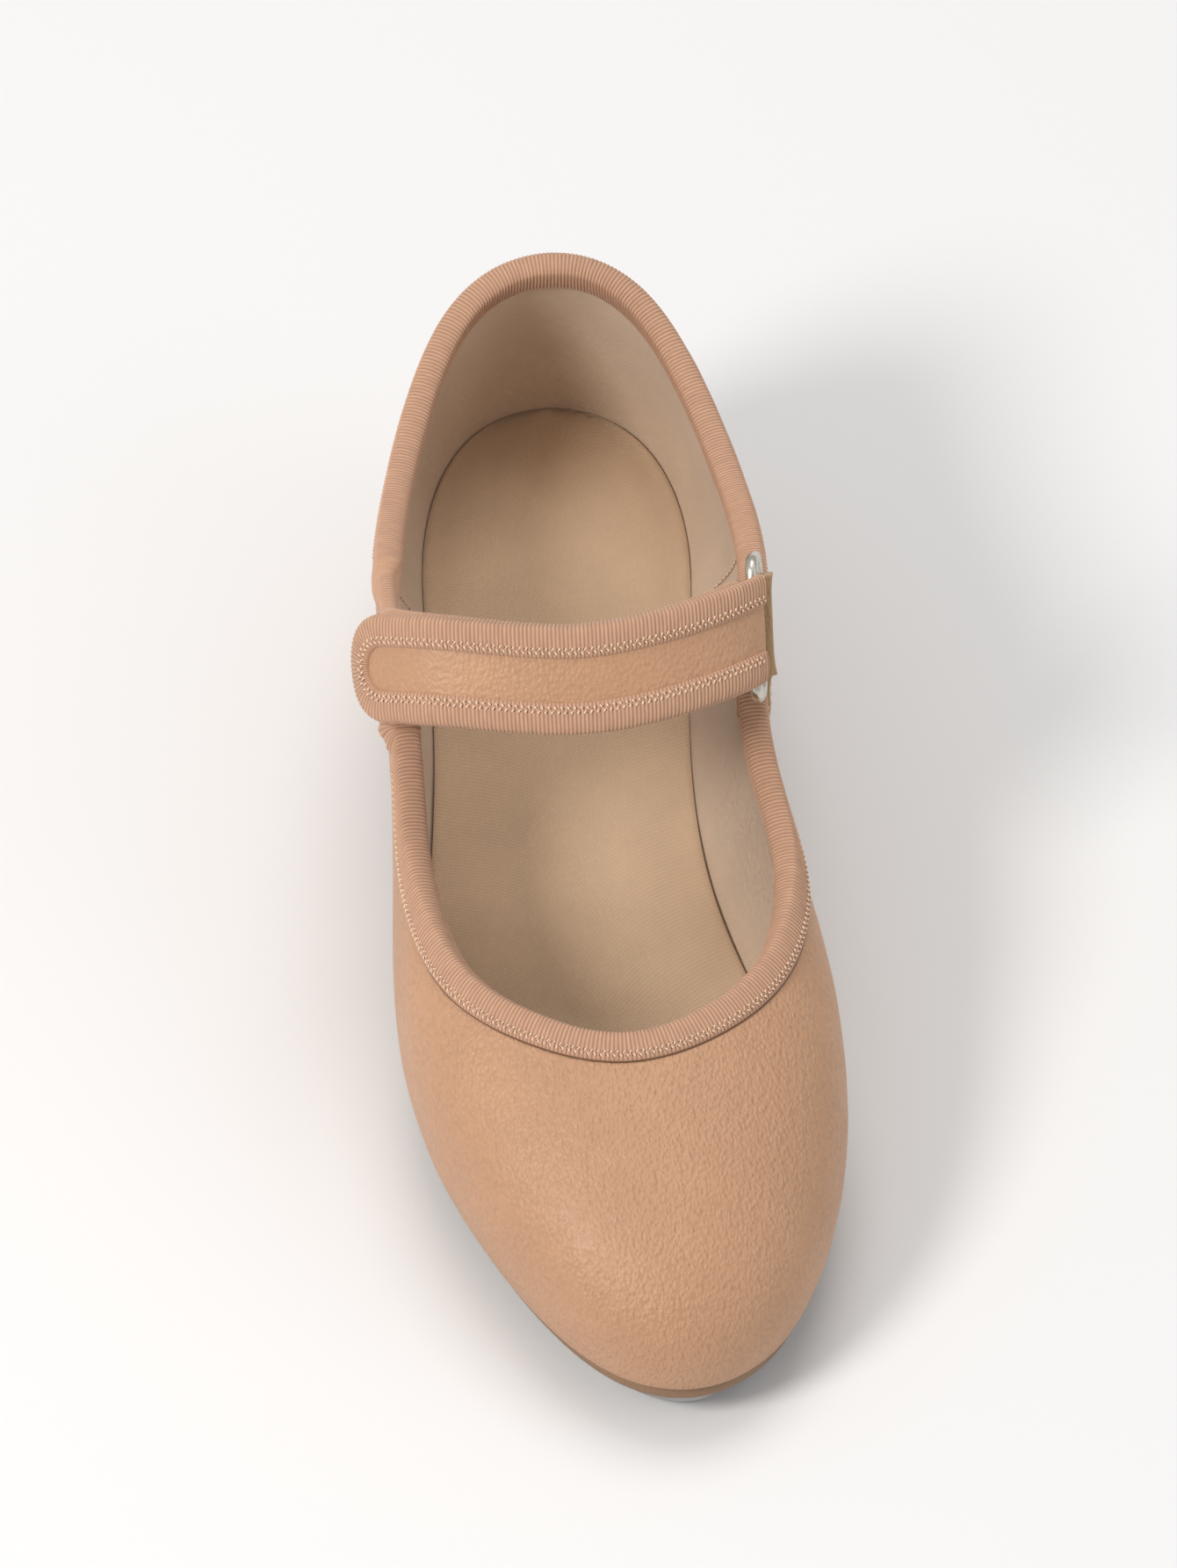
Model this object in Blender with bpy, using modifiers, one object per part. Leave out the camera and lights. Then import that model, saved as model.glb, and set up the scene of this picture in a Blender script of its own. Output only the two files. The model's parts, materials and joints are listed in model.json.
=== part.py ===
"""Mary Jane tap shoe for the right foot, built as its separate pieces.

The floor is Z 0, the toe points to -Y and the inner side of the foot is +X.
Lengths are written in millimetres and become metres as each mesh is made.
The upper is one surface, wall(): u runs once round the shoe from the toe tip, along the inner side
to the heel and back along the outer side, and v climbs from the feather edge (0) to the topline (1).
The strap lies on an arch over the instep, in a plane that leans back: strap_point() places it.
"""

import math

import bmesh
import bpy
import numpy as np
from mathutils import Matrix, Vector

MM = 0.001
GAP = 0.3  # clearance left between two pieces that touch on the real shoe
CENTRE_SHIFT = (-0.591, -3.854)  # moves the middle of the whole shoe onto the frame's origin

# Sole, from the floor up
TAP = 3.0
TAP_BOARD = 1.5
SOLE = 2.8
FILLER = 1.2
INSOLE_BOARD = 1.8
SOCK = 2.5
EDGE_BAND = 0.7
SOLE_MARGIN = -2.2  # the outsole stops short of the feather edge
FOREPART_HEIGHT = TAP + TAP_BOARD + 2 * GAP  # underside of the outsole at the ball
HEEL_HEIGHT = 21.0  # underside of the outsole at the heel seat
TOE_SPRING = 3.0
TOE_END, TOE_BREAK = -118.5, -84.0
WAIST_START, HEEL_BREAST = -36.0, 62.0
TAP_INSET = 6.0
TOE_TAP_REAR = -66.0
HEEL_LIFT = 3.0
HEEL_TAPER = 1.2
HEEL_TAP_INSET = 3.7

# Upper
LEATHER = 1.3
STIFFENER = 0.7
LINING = 0.7
STIFFENER_OUT = -(LEATHER + GAP)
LINING_OUT = STIFFENER_OUT - STIFFENER - GAP
UPPER_THICKNESS = -LINING_OUT + LINING
TAPE = 0.6
TOPLINE_LEG, STRAP_LEG = 5.5, 5.3  # how far each tape reaches in from its edge
SIDE_SEAM = 6.35  # station of the seam between vamp and quarter
ROOT_FRONT, ROOT_REAR = 5.0, 6.25  # stations the strap grows from, on the outer side

# Strap, in its own plane: x across, q up from the apex, w along its width towards the toe
STRAP_ORIGIN = (-1.5, -3.0, 90.0)
STRAP_LEAN = math.radians(48)
ARCH_HALF_WIDTH, ARCH_RISE, ARCH_DROP = 34.0, 20.0, 24.8
STRAP_SWAY = (0.6, 3.6, -2.4)  # towards the toe at the root, the middle and the ring
STRAP_HALF_WIDTH = 9.5  # leather, without the tape on its edges
LOWER_STRAP_ROOT, LOWER_STRAP_END = math.radians(-86), math.radians(65)
UPPER_STRAP_START, UPPER_STRAP_TIP = math.radians(66), math.radians(-82)
UPPER_STRAP_RISE = (  # degrees along the arch, height above it
    (-82, 7.1), (-70, 6.4), (-56, 6.0), (-42, 5.8), (-28, 4.5), (-10, 3.5), (35, 3.5), (66, 4.7)
)
PATCH = 0.9
PATCH_HALF_WIDTH = 6.5
WIRE = 2.5
BAR_ANGLE = math.radians(68)
BAR_SPACING = 9.0
RING_HALF_LENGTH = 13.0
TAB = 1.4
TAB_HALF_WIDTH = 9.0
TAB_STATIONS = (5.15, 5.9)

# Screws
SCREW_HEAD, SCREW_SHANK, COUNTERSINK = 3.0, 1.2, 1.9
TOE_SCREW_LENGTH, HEEL_SCREW_LENGTH = 6.0, 9.0
SCREW_POINT = 0.8
PLATE_COLUMNS = 6

# Round the shoe, one row a station: feather edge x, y; topline x, y, z; the wall's bulge as
# (out, up) from the feather edge and (out, down) from the topline.
STATIONS = [
    ((10, -117.5), (3, -62, 50), (5, 21), (29, 9)),
    ((24, -112), (19, -56.5, 50), (6, 20), (24, 9)),
    ((35.5, -94.2), (31, -44, 49.5), (8, 18), (17, 10)),
    ((40, -64), (37, -27, 50), (9, 15), (9, 11)),
    ((35, -31), (37, -10, 52.5), (7, 14), (3.5, 13)),
    ((26, 4), (34, 9, 62), (5, 15), (2, 15)),
    ((24.5, 42), (35.5, 32, 74), (6, 18), (3, 18)),
    ((27, 82), (33, 69, 67), (7, 16), (3, 18)),
    ((19.5, 112), (20.5, 104, 74), (5, 17), (4, 18)),
    ((0, 122), (0.5, 113.5, 80), (5, 17), (5, 18)),
    ((-19, 112), (-20, 104, 74), (5, 17), (4, 18)),
    ((-28, 82), (-33, 69, 66.5), (7, 16), (3, 18)),
    ((-29, 42), (-37, 32, 74), (6, 18), (3, 18)),
    ((-32.5, 4), (-35.5, 9, 62), (5, 15), (2.5, 15)),
    ((-35, -31), (-35, -10, 52.5), (6, 14), (3.5, 13)),
    ((-31.5, -60), (-32.5, -27, 50), (7, 15), (8, 11)),
    ((-20.5, -87), (-26, -44, 49.5), (7, 18), (15, 10)),
    ((-5.5, -109.5), (-13, -56.5, 50), (6, 20), (22, 9)),
]
COUNT = len(STATIONS)
WALL_LEVELS = tuple(i / 7 for i in range(8))
ROOT_ROWS = (0.15, 0.3, 0.45, 0.6, 0.8)
ARCH_ROWS = tuple(1 + i / 16 for i in range(17))


# ---------------------------------------------------------------- curves and surfaces


def spline_coefficients(points):
    """Control points of the closed cubic B-spline that passes through the given points."""
    points = np.asarray(points, float)
    n = len(points)
    system = np.zeros((n, n))
    for i in range(n):
        system[i, i] = 4 / 6
        system[i, (i + 1) % n] += 1 / 6
        system[i, (i - 1) % n] += 1 / 6
    return np.linalg.solve(system, points)


def spline(control, u):
    """Points and derivatives of the closed B-spline at u, an array, once round being 0 to 1."""
    n = len(control)
    at = np.mod(np.asarray(u, float), 1.0) * n
    i = np.floor(at).astype(int)
    t = (at - i)[..., None]
    p = [control[(i + k) % n] for k in (-1, 0, 1, 2)]
    weights = ((1 - t) ** 3, 3 * t**3 - 6 * t**2 + 4, -3 * t**3 + 3 * t**2 + 3 * t + 1, t**3)
    slopes = (-((1 - t) ** 2), 3 * t**2 - 4 * t, -3 * t**2 + 2 * t + 1, t**2)
    point = sum(w * q for w, q in zip(weights, p)) / 6
    slope = sum(s * q for s, q in zip(slopes, p)) / 2
    return point, slope


FEATHER = spline_coefficients([s[0] for s in STATIONS])
TOPLINE = spline_coefficients([s[1] for s in STATIONS])
LOW_BULGE = spline_coefficients([s[2] for s in STATIONS])
HIGH_BULGE = spline_coefficients([s[3] for s in STATIONS])


def underside(y):
    """Height of the outsole's underside: toe spring, flat forepart, waist and heel seat."""
    y = np.asarray(y, float)
    toe = np.clip((TOE_BREAK - y) / (TOE_BREAK - TOE_END), 0, 1)
    waist = np.clip((y - WAIST_START) / (HEEL_BREAST - WAIST_START), 0, 1)
    rise = (HEEL_HEIGHT - FOREPART_HEIGHT) * waist * waist * (3 - 2 * waist)
    return FOREPART_HEIGHT + TOE_SPRING * toe**2 + rise


def sole_point(x, y, height):
    """The point height mm above the outsole's underside, square to it."""
    x, y, height = np.broadcast_arrays(x, np.asarray(y, float), height)
    slope = (underside(y + 0.5) - underside(y - 0.5)) / 1.0
    size = np.hypot(1, slope)
    return np.stack([x, y - height * slope / size, underside(y) + height / size], -1)


def feather_normal(u):
    slope = spline(FEATHER, u)[1]
    normal = np.stack([slope[..., 1], -slope[..., 0]], -1)
    return normal / np.linalg.norm(normal, axis=-1, keepdims=True)


def outline(u, out=0.0):
    """Plan point of the feather edge, moved outwards."""
    return spline(FEATHER, u)[0] + out * feather_normal(u)


def profile(u, t):
    """The wall's profile at u: a Bezier from the feather edge to the topline, at parameters t."""
    foot, top = spline(FEATHER, u)[0], spline(TOPLINE, u)[0]
    low, high = spline(LOW_BULGE, u)[0], spline(HIGH_BULGE, u)[0]
    slope = spline(TOPLINE, u)[1]
    side = np.stack([slope[..., 1], -slope[..., 0]], -1)
    side /= np.linalg.norm(side, axis=-1, keepdims=True)
    p0 = sole_point(foot[..., 0], foot[..., 1], SOLE + 1.5 * GAP)
    p1 = p0 + np.concatenate([feather_normal(u) * low[..., :1], low[..., 1:]], -1)
    p2 = top + np.concatenate([side * high[..., :1], -high[..., 1:]], -1)
    a, b, c, d = (p[..., None, :] for p in (p0, p1, p2, top))
    t = t[..., None]
    return (1 - t) ** 3 * a + 3 * (1 - t) ** 2 * t * b + 3 * (1 - t) * t**2 * c + t**3 * d


def wall_face(u, v):
    """Points of the upper's outer face on the grid u (n) by v (n by m), v by length along the profile."""
    u = np.asarray(u, float)
    steps = np.linspace(0, 1, 65)
    fine = profile(u, np.tile(steps, (len(u), 1)))
    run = np.linalg.norm(np.diff(fine, axis=1), axis=2).cumsum(axis=1)
    run = np.concatenate([np.zeros((len(u), 1)), run], 1)
    t = np.array([np.interp(row * total, length, steps) for row, total, length in zip(v, run[:, -1], run)])
    return profile(u, t)


def wall_length(u):
    steps = np.tile(np.linspace(0, 1, 65), (len(u), 1))
    return np.linalg.norm(np.diff(profile(np.asarray(u, float), steps), axis=1), axis=2).sum(axis=1)


def wall_normal(u, v):
    step = 1e-3
    low, high = np.clip(v - step, 0, 1), np.clip(v + step, 0, 1)
    up = wall_face(u, high) - wall_face(u, low)
    along = wall_face(u + step, v) - wall_face(u - step, v)
    normal = np.cross(along, up)
    return normal / np.linalg.norm(normal, axis=-1, keepdims=True), up


def wall(u, v, out=0.0):
    """Points out mm outside the upper's outer face."""
    v = np.broadcast_to(v, (len(u), np.shape(v)[-1]))
    return wall_face(u, v) + wall_normal(u, v)[0] * np.asarray(out)[..., None]


def strap_sway(x):
    """How far the strap's line bends towards the toe at x: most in the middle, and back at the ring."""
    root, middle, ring = STRAP_SWAY
    left = np.clip(np.asarray(x, float) / 35 + 1, 0, 1)
    right = np.clip(np.asarray(x, float) / 33, 0, None)
    past = np.clip(right - 1, 0, None)
    bend = np.minimum(right, 1) ** 1.6 + 1.6 * past
    return root + (middle - root) * left * left * (3 - 2 * left) + (ring - middle) * bend


def strap_point(x, q, w):
    """The point x across, q above the strap's apex and w along its width."""
    x, q, w = np.broadcast_arrays(x, q, w + strap_sway(x))
    up = np.array([0, -math.sin(STRAP_LEAN), math.cos(STRAP_LEAN)])
    along = np.array([0, -math.cos(STRAP_LEAN), -math.sin(STRAP_LEAN)])
    across = np.array([1.0, 0, 0])
    return np.array(STRAP_ORIGIN) + x[..., None] * across + q[..., None] * up + w[..., None] * along


def arch(angle, out=0.0):
    """(x, q) on the instep arch, out mm outside it. Past a quarter turn it runs straight down."""
    angle = np.asarray(angle, float)
    turn = np.clip(angle, -math.pi / 2, math.pi / 2)
    x = ARCH_HALF_WIDTH * np.sin(turn)
    q = ARCH_RISE * np.cos(turn) - ARCH_DROP - ARCH_RISE * np.abs(angle - turn)
    nx, nq = np.sin(turn) / ARCH_HALF_WIDTH, np.cos(turn) / ARCH_RISE
    size = np.hypot(nx, nq)
    return np.stack([x + out * nx / size, q + out * nq / size], -1)


# ---------------------------------------------------------------- making objects


def material(name, colour, roughness, metallic=0.0):
    made = bpy.data.materials.new(name)
    made.use_nodes = True
    shader = made.node_tree.nodes["Principled BSDF"]
    shader.inputs["Base Color"].default_value = (*colour, 1.0)
    shader.inputs["Roughness"].default_value = roughness
    shader.inputs["Metallic"].default_value = metallic
    return made


def clear_scene():
    for obj in list(bpy.data.objects):
        bpy.data.objects.remove(obj)


def add_object(name, points, faces, finish, collection):
    """One named mesh object from points in millimetres, moved so that the shoe is centred."""
    shifted = np.asarray(points, float) + np.array([*CENTRE_SHIFT, 0.0])
    mesh = bpy.data.meshes.new(name)
    mesh.from_pydata((shifted * MM).tolist(), [], faces)
    mesh.validate()
    obj = bpy.data.objects.new(name, mesh)
    collection.objects.link(obj)
    if finish:
        mesh.materials.append(finish)
    mesh.shade_smooth()
    mesh.set_sharp_from_angle(angle=math.radians(35))
    return obj


def solidify(obj, thickness, offset=-1.0):
    modifier = obj.modifiers.new("thickness", "SOLIDIFY")
    modifier.thickness = thickness * MM
    modifier.offset = offset
    modifier.use_even_offset = True
    return obj


def bevel(obj, width, segments=2):
    modifier = obj.modifiers.new("rounded_edges", "BEVEL")
    modifier.width = width * MM
    modifier.segments = segments
    modifier.limit_method = "ANGLE"
    modifier.angle_limit = math.radians(50)
    return obj


def cut(obj, cutter):
    modifier = obj.modifiers.new("cut_" + cutter.name, "BOOLEAN")
    modifier.operation = "DIFFERENCE"
    modifier.object = cutter
    return obj


def grid_faces(rows, columns, closed_rows=False):
    """Quads of a grid whose points are listed row by row."""
    return [
        (i * columns + j, (i + 1) % rows * columns + j, (i + 1) % rows * columns + j + 1, i * columns + j + 1)
        for i in range(rows if closed_rows else rows - 1)
        for j in range(columns - 1)
    ]


def sheet(name, grid, thickness, finish, collection, closed=False, offset=-1.0):
    """An open grid of points given a thickness. With offset -1 it grows against the grid's normals."""
    rows, columns = grid.shape[:2]
    obj = add_object(name, grid.reshape(-1, 3), grid_faces(rows, columns, closed), finish, collection)
    return solidify(obj, thickness, offset)


def rows_between(station_from, station_to):
    """The quarter stations between two, with both ends: neighbouring layers share their rows."""
    quarters = np.arange(math.ceil(station_from * 4), math.floor(station_to * 4) + 1) / 4
    inner = quarters[(quarters > station_from + 0.06) & (quarters < station_to - 0.06)]
    return np.concatenate([[station_from], inner, [station_to]])


def wall_sheet(name, station_from, station_to, out, thickness, finish, collection, levels=WALL_LEVELS):
    """A panel of the upper between two stations, as a layer out mm outside the outer face."""
    u = rows_between(station_from, station_to) / COUNT
    return sheet(name, wall(u, np.array(levels), out), thickness, finish, collection)


def section_sweep(name, sections, finish, collection, closed=False):
    """A solid through a row of like sections, each a loop of points. Open rows get end caps."""
    count, size = sections.shape[:2]
    last = count if closed else count - 1
    faces = []
    for i in range(last):
        near, far = i * size, (i + 1) % count * size
        for j in range(size):
            beside = (j + 1) % size
            faces.append((near + j, far + j, far + beside, near + beside))
    if not closed:
        faces.append(tuple(range(size)))
        faces.append(tuple(reversed(range((count - 1) * size, count * size))))
    obj = add_object(name, sections.reshape(-1, 3), faces, finish, collection)
    loose = bmesh.new()
    loose.from_mesh(obj.data)
    bmesh.ops.recalc_face_normals(loose, faces=loose.faces)
    loose.to_mesh(obj.data)
    loose.free()
    return obj


def plate(name, out, lift, thickness, finish, collection, y_from=None, y_to=None, bow=0.0, rows=28):
    """A sheet that follows the sole's line, its lower face lift mm above the outsole's underside.

    Its edge is the feather edge moved by out. y_from and y_to trim it; bow pushes the middle of the
    trimmed rear edge further back.
    """
    fine = np.linspace(0, 0.5, 400)
    inner, outer = outline(fine, out), outline(-fine, out)
    low = inner[0, 1] if y_from is None else y_from
    high = inner[-1, 1] if y_to is None else y_to
    turn = np.linspace(0, math.pi, rows)
    tight = 0.5 - 0.5 * np.cos(turn)
    even = np.linspace(0, 1, rows)
    share = tight if y_to is None else np.where(even < 0.5, tight, even)
    if y_from is not None:
        share = even
    y = low + (high - low) * (0.0004 + 0.9992 * share)
    right = np.interp(y, inner[:, 1], inner[:, 0])
    left = np.interp(y, outer[:, 1], outer[:, 0])
    across = np.linspace(0, 1, PLATE_COLUMNS + 1)
    grid_x = right[:, None] + (left - right)[:, None] * across
    shape = 1 - (2 * across - 1) ** 2
    grid_y = y[:, None] + bow * share[:, None] ** 2 * shape
    return sheet(name, sole_point(grid_x, grid_y, lift), thickness, finish, collection, offset=1.0)


def turned(name, outline_points, finish, collection, matrix, steps=14):
    """A turned solid from (radius, height) points, top to bottom, in millimetres."""
    mesh = bpy.data.meshes.new(name)
    points = [(r * MM, 0, z * MM) for r, z in outline_points]
    mesh.from_pydata(points, [(i, i + 1) for i in range(len(points) - 1)], [])
    obj = bpy.data.objects.new(name, mesh)
    collection.objects.link(obj)
    if finish:
        mesh.materials.append(finish)
    screw = obj.modifiers.new("turn", "SCREW")
    screw.steps = screw.render_steps = steps
    screw.use_merge_vertices = True
    screw.merge_threshold = 0.00001
    shift = Matrix.Translation(Vector((*CENTRE_SHIFT, 0)) * MM)
    obj.matrix_world = shift @ matrix
    return obj


def helper(obj):
    """Marks a cutter, which isn't a piece of the shoe."""
    obj.hide_render = True
    obj.display_type = "WIRE"
    return obj


# ---------------------------------------------------------------- the sole and heel


def heel_outline(inset):
    """Plan of the heel: the seat's edge, moved in, closed by a hollow breast."""
    fine = np.linspace(0, 1, 721)
    edge = outline(fine, SOLE_MARGIN + EDGE_BAND - inset)
    rear = edge[edge[:, 1] > HEEL_BREAST + 1 + inset]
    rear = rear[np.linspace(0, len(rear) - 1, 26).astype(int)]
    across = np.linspace(0, 1, 9)[1:-1]
    start, end = rear[-1], rear[0]
    breast = start + (end - start) * across[:, None]
    breast[:, 1] += 5.0 * (1 - (2 * across - 1) ** 2)
    return np.concatenate([rear, breast])


def heel_solid(name, levels, finish, collection):
    """A solid through heel outlines, each (inset, height), from the top down."""
    sections = np.stack(
        [np.column_stack([heel_outline(inset), np.full(33, height)]) for inset, height in levels]
    )
    return section_sweep(name, sections, finish, collection)


def screw_matrix(x, y, foot):
    """Places a screw, head down, at x, y, with its head's face foot mm above the underside line."""
    place = Vector(sole_point(x, y, foot))
    up = (Vector(sole_point(x, y, foot + 1)) - place).normalized()
    turn = Vector((0, 0, -1)).rotation_difference(-up).to_matrix().to_4x4()
    flip = Matrix.Rotation(math.pi, 4, "X")
    return Matrix.Translation(place * MM) @ turn @ flip


def screw_outline(length, grow=0.0):
    """A countersunk screw's outline, its head's face at height 0, tip below."""
    head, shank = SCREW_HEAD + grow, SCREW_SHANK + grow
    top, end = grow * 4, -length - grow
    return [(0, top), (head, top), (head, -0.4), (shank, -COUNTERSINK), (shank, end), (0, end - SCREW_POINT)]


def add_screws(prefix, places, foot, length, into, steel, pieces, cutters):
    """Countersunk screws with a slot, and clearance holes for them in the pieces they pass through."""
    for number, (x, y) in enumerate(places, 1):
        matrix = screw_matrix(x, y, foot)
        screw = turned(f"{prefix}_screw_{number}", screw_outline(length), steel, pieces, matrix)
        hole = helper(turned(f"{prefix}_hole_{number}", screw_outline(length, GAP), None, cutters, matrix))
        for piece in into:
            cut(piece, hole)
        bpy.ops.mesh.primitive_cube_add(size=1)
        slot = helper(bpy.context.active_object)
        slot.name = f"{prefix}_slot_{number}"
        slot.data.transform(Matrix.Diagonal((0.9 * MM, 7 * MM, 1.6 * MM, 1)))
        for owner in list(slot.users_collection):
            owner.objects.unlink(slot)
        cutters.objects.link(slot)
        slot.matrix_world = screw.matrix_world @ Matrix.Rotation(0.5 * number, 4, "Z")
        cut(screw, slot)


def build_sole(finishes, pieces, cutters):
    suede, steel, aluminium = finishes["suede"], finishes["steel"], finishes["aluminium"]
    outsole = plate("outsole", SOLE_MARGIN, 0, SOLE, suede, pieces, rows=34)

    u = np.arange(72) / 72
    edge = outline(u, SOLE_MARGIN + GAP)
    band = np.stack([sole_point(edge[:, 0], edge[:, 1], h) for h in (0.0, SOLE / 2, SOLE)], 1)
    sheet("sole_edge_band", band, EDGE_BAND, finishes["leather"], pieces, closed=True, offset=1.0)

    inside = -(UPPER_THICKNESS + 1.0)
    above = SOLE + GAP
    cork = finishes["cork"]
    plate("forepart_filler", inside - 2, above, FILLER, cork, pieces, y_from=-106, y_to=-24, rows=14)
    shank_rows = np.linspace(-20, 80, 13)
    shank = sole_point(np.array([5.0, -1.0, -7.0]), shank_rows[:, None], above)
    sheet("shank", shank, FILLER, steel, pieces, offset=1.0)
    board_lift = above + FILLER + GAP
    board = plate("insole_board", inside, board_lift, INSOLE_BOARD, finishes["board"], pieces)
    plate("sock_liner", inside - 0.3, board_lift + INSOLE_BOARD + GAP, SOCK, finishes["lining"], pieces)

    shape = {"y_to": TOE_TAP_REAR, "bow": 4, "rows": 16}
    board_foot = -GAP - TAP_BOARD
    tap_foot = board_foot - GAP - TAP
    fibre = finishes["fibre"]
    toe_board = plate("toe_tap_board", -TAP_INSET + 0.4, board_foot, TAP_BOARD, fibre, pieces, **shape)
    toe_tap = plate("toe_tap", -TAP_INSET, tap_foot, TAP, aluminium, pieces, **shape)
    bevel(toe_tap, 0.9)
    places = [(6, -103), (25, -76), (-12, -76)]
    layers = (toe_tap, toe_board, outsole)
    add_screws("toe_tap", places, tap_foot + 0.15, TOE_SCREW_LENGTH, layers, steel, pieces, cutters)

    lift_top = TAP + GAP + HEEL_LIFT
    block = heel_solid(
        "heel_block",
        [(0.6, HEEL_HEIGHT - GAP), (HEEL_TAPER, 13.0), (HEEL_TAPER + 0.8, lift_top + GAP)],
        finishes["heel_cover"],
        pieces,
    )
    lift_levels = [(HEEL_TAPER + 0.8, lift_top), (HEEL_TAPER + 1.0, TAP + GAP)]
    lift = heel_solid("heel_lift", lift_levels, finishes["rubber"], pieces)
    tap_levels = [(HEEL_TAP_INSET, TAP), (HEEL_TAP_INSET, 0.0)]
    heel_tap = heel_solid("heel_tap", tap_levels, aluminium, pieces)
    bevel(heel_tap, 0.8)
    places = [(0, 111), (15, 83), (-16, 83)]
    layers = (heel_tap, lift, block)
    add_screws("heel_tap", places, 0.15 - HEEL_HEIGHT, HEEL_SCREW_LENGTH, layers, steel, pieces, cutters)

    seat = HEEL_HEIGHT + board_lift + INSOLE_BOARD - 0.2
    long_screw = [(0, 0), (4, 0), (4, -0.5), (1.6, -1.5), (1.6, -16), (0, -17.5)]
    long_hole = [(0, 1), (4.3, 1), (4.3, -0.8), (1.9, -1.9), (1.9, -17), (0, -18.5)]
    place = Matrix.Translation(Vector((0, 96, seat)) * MM)
    turned("heel_seat_screw", long_screw, steel, pieces, place)
    hole = helper(turned("heel_seat_hole", long_hole, None, cutters, place))
    for piece in (board, outsole, block):
        cut(piece, hole)


# ---------------------------------------------------------------- the strap's surfaces


def strap_face(s, r):
    """Outer face of the lower strap: s runs across from its front edge, r from the topline to the ring.

    Up to r = 1 it turns out of the topline, then it follows the arch. s and r are broadcast together.
    """
    s, r = np.broadcast_arrays(np.asarray(s, float), np.asarray(r, float))
    u = -(ROOT_FRONT + (ROOT_REAR - ROOT_FRONT) * s) / COUNT
    w = STRAP_HALF_WIDTH * (1 - 2 * s)
    top, along = spline(TOPLINE, u)
    along = along / np.linalg.norm(along, axis=-1, keepdims=True)
    lean = np.stack([np.full(s.shape, 0.2), np.zeros(s.shape), np.ones(s.shape)], -1)
    flare = (1 - 2 * s)[..., None]
    first = top + 3.0 * lean - np.where(flare > 0, 1.5, 6.0) * flare * np.abs(flare) * along
    root_x, root_q = np.moveaxis(arch(np.full(s.shape, LOWER_STRAP_ROOT), LEATHER), -1, 0)
    last = strap_point(root_x, root_q, w)
    third = strap_point(root_x, root_q - 5.0, w)
    t = np.clip(r, 0, 1)[..., None]
    root = (1 - t) ** 3 * top + 3 * (1 - t) ** 2 * t * first + 3 * (1 - t) * t**2 * third + t**3 * last
    angle = LOWER_STRAP_ROOT + (LOWER_STRAP_END - LOWER_STRAP_ROOT) * np.clip(r - 1, 0, 1)
    x, q = np.moveaxis(arch(angle, LEATHER), -1, 0)
    return np.where((r <= 1)[..., None], root, strap_point(x, q, w))


def strap_out(s, r, out):
    """The point out mm outside the lower strap's outer face."""
    s, r = np.broadcast_arrays(np.asarray(s, float), np.asarray(r, float))
    step = 1e-3
    across = strap_face(np.clip(s + step, 0, 1), r) - strap_face(np.clip(s - step, 0, 1), r)
    along = strap_face(s, np.clip(r + step, 0, 2)) - strap_face(s, np.clip(r - step, 0, 2))
    normal = np.cross(along, across)
    normal /= np.linalg.norm(normal, axis=-1, keepdims=True)
    return strap_face(s, r) + normal * out


def upper_strap_length():
    angles = np.linspace(UPPER_STRAP_TIP, UPPER_STRAP_START, 200)
    path = arch(angles, upper_strap_rise(angles))
    return angles, np.concatenate([[0], np.linalg.norm(np.diff(path, axis=0), axis=1).cumsum()])


def upper_strap_rise(angle):
    degrees, rises = zip(*UPPER_STRAP_RISE)
    return np.interp(np.degrees(angle), degrees, rises)


def upper_strap_point(distance, w, out):
    """The point distance mm from the upper strap's tip, w mm across, out mm outside its foot-side face."""
    angles, run = upper_strap_length()
    angle = np.interp(distance, run, angles)
    start = arch(angle, upper_strap_rise(angle) + out)
    short = np.minimum(distance, 0)
    tip = np.full_like(angle, UPPER_STRAP_TIP)
    slope = arch(tip + 0.02, 7.0) - arch(tip, 7.0)
    slope /= np.linalg.norm(slope, axis=-1, keepdims=True)
    path = start + slope * short[..., None]
    return strap_point(path[..., 0], path[..., 1], w)


# ---------------------------------------------------------------- the upper


def build_upper(finishes, pieces):
    end = COUNT - SIDE_SEAM
    slit = 0.02  # part of a station, about 0.4 mm
    back = COUNT / 2
    leather, lining = finishes["leather"], finishes["lining"]
    build_vamp(leather, pieces)
    wall_sheet("quarter_inner", SIDE_SEAM + slit, back - slit, 0, LEATHER, leather, pieces)
    wall_sheet("quarter_outer", back + slit, end - slit, 0, LEATHER, leather, pieces)
    wall_sheet("toe_puff", -3, 3, STIFFENER_OUT, STIFFENER, finishes["fibre"], pieces, WALL_LEVELS[:5])
    wall_sheet("heel_counter", 7, 11, STIFFENER_OUT, STIFFENER, finishes["fibre"], pieces, WALL_LEVELS[:7])
    wall_sheet("vamp_lining", -SIDE_SEAM, SIDE_SEAM, LINING_OUT, LINING, lining, pieces)
    wall_sheet("quarter_lining", SIDE_SEAM + slit, end - slit, LINING_OUT, LINING, lining, pieces)

    length = wall_length(np.array([0.5]))[0]
    u = 0.5 + np.linspace(-0.011, 0.011, 5)
    v = np.linspace(0.03, 1 - (TOPLINE_LEG + 1.0) / length, 9)
    sheet("back_strip", wall(u, v, GAP), 0.9, leather, pieces, offset=1.0)

    for name, start, stop in (
        ("topline_tape_front", -ROOT_FRONT + 0.3, TAB_STATIONS[0] - 0.12),
        ("topline_tape_rear", TAB_STATIONS[1] + 0.12, COUNT - ROOT_REAR - 0.16),
    ):
        rows = rows_between(start, stop) / COUNT
        fold_tape(name, topline_point(rows), TOPLINE_LEG, UPPER_THICKNESS, finishes["grosgrain"], pieces)


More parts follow.
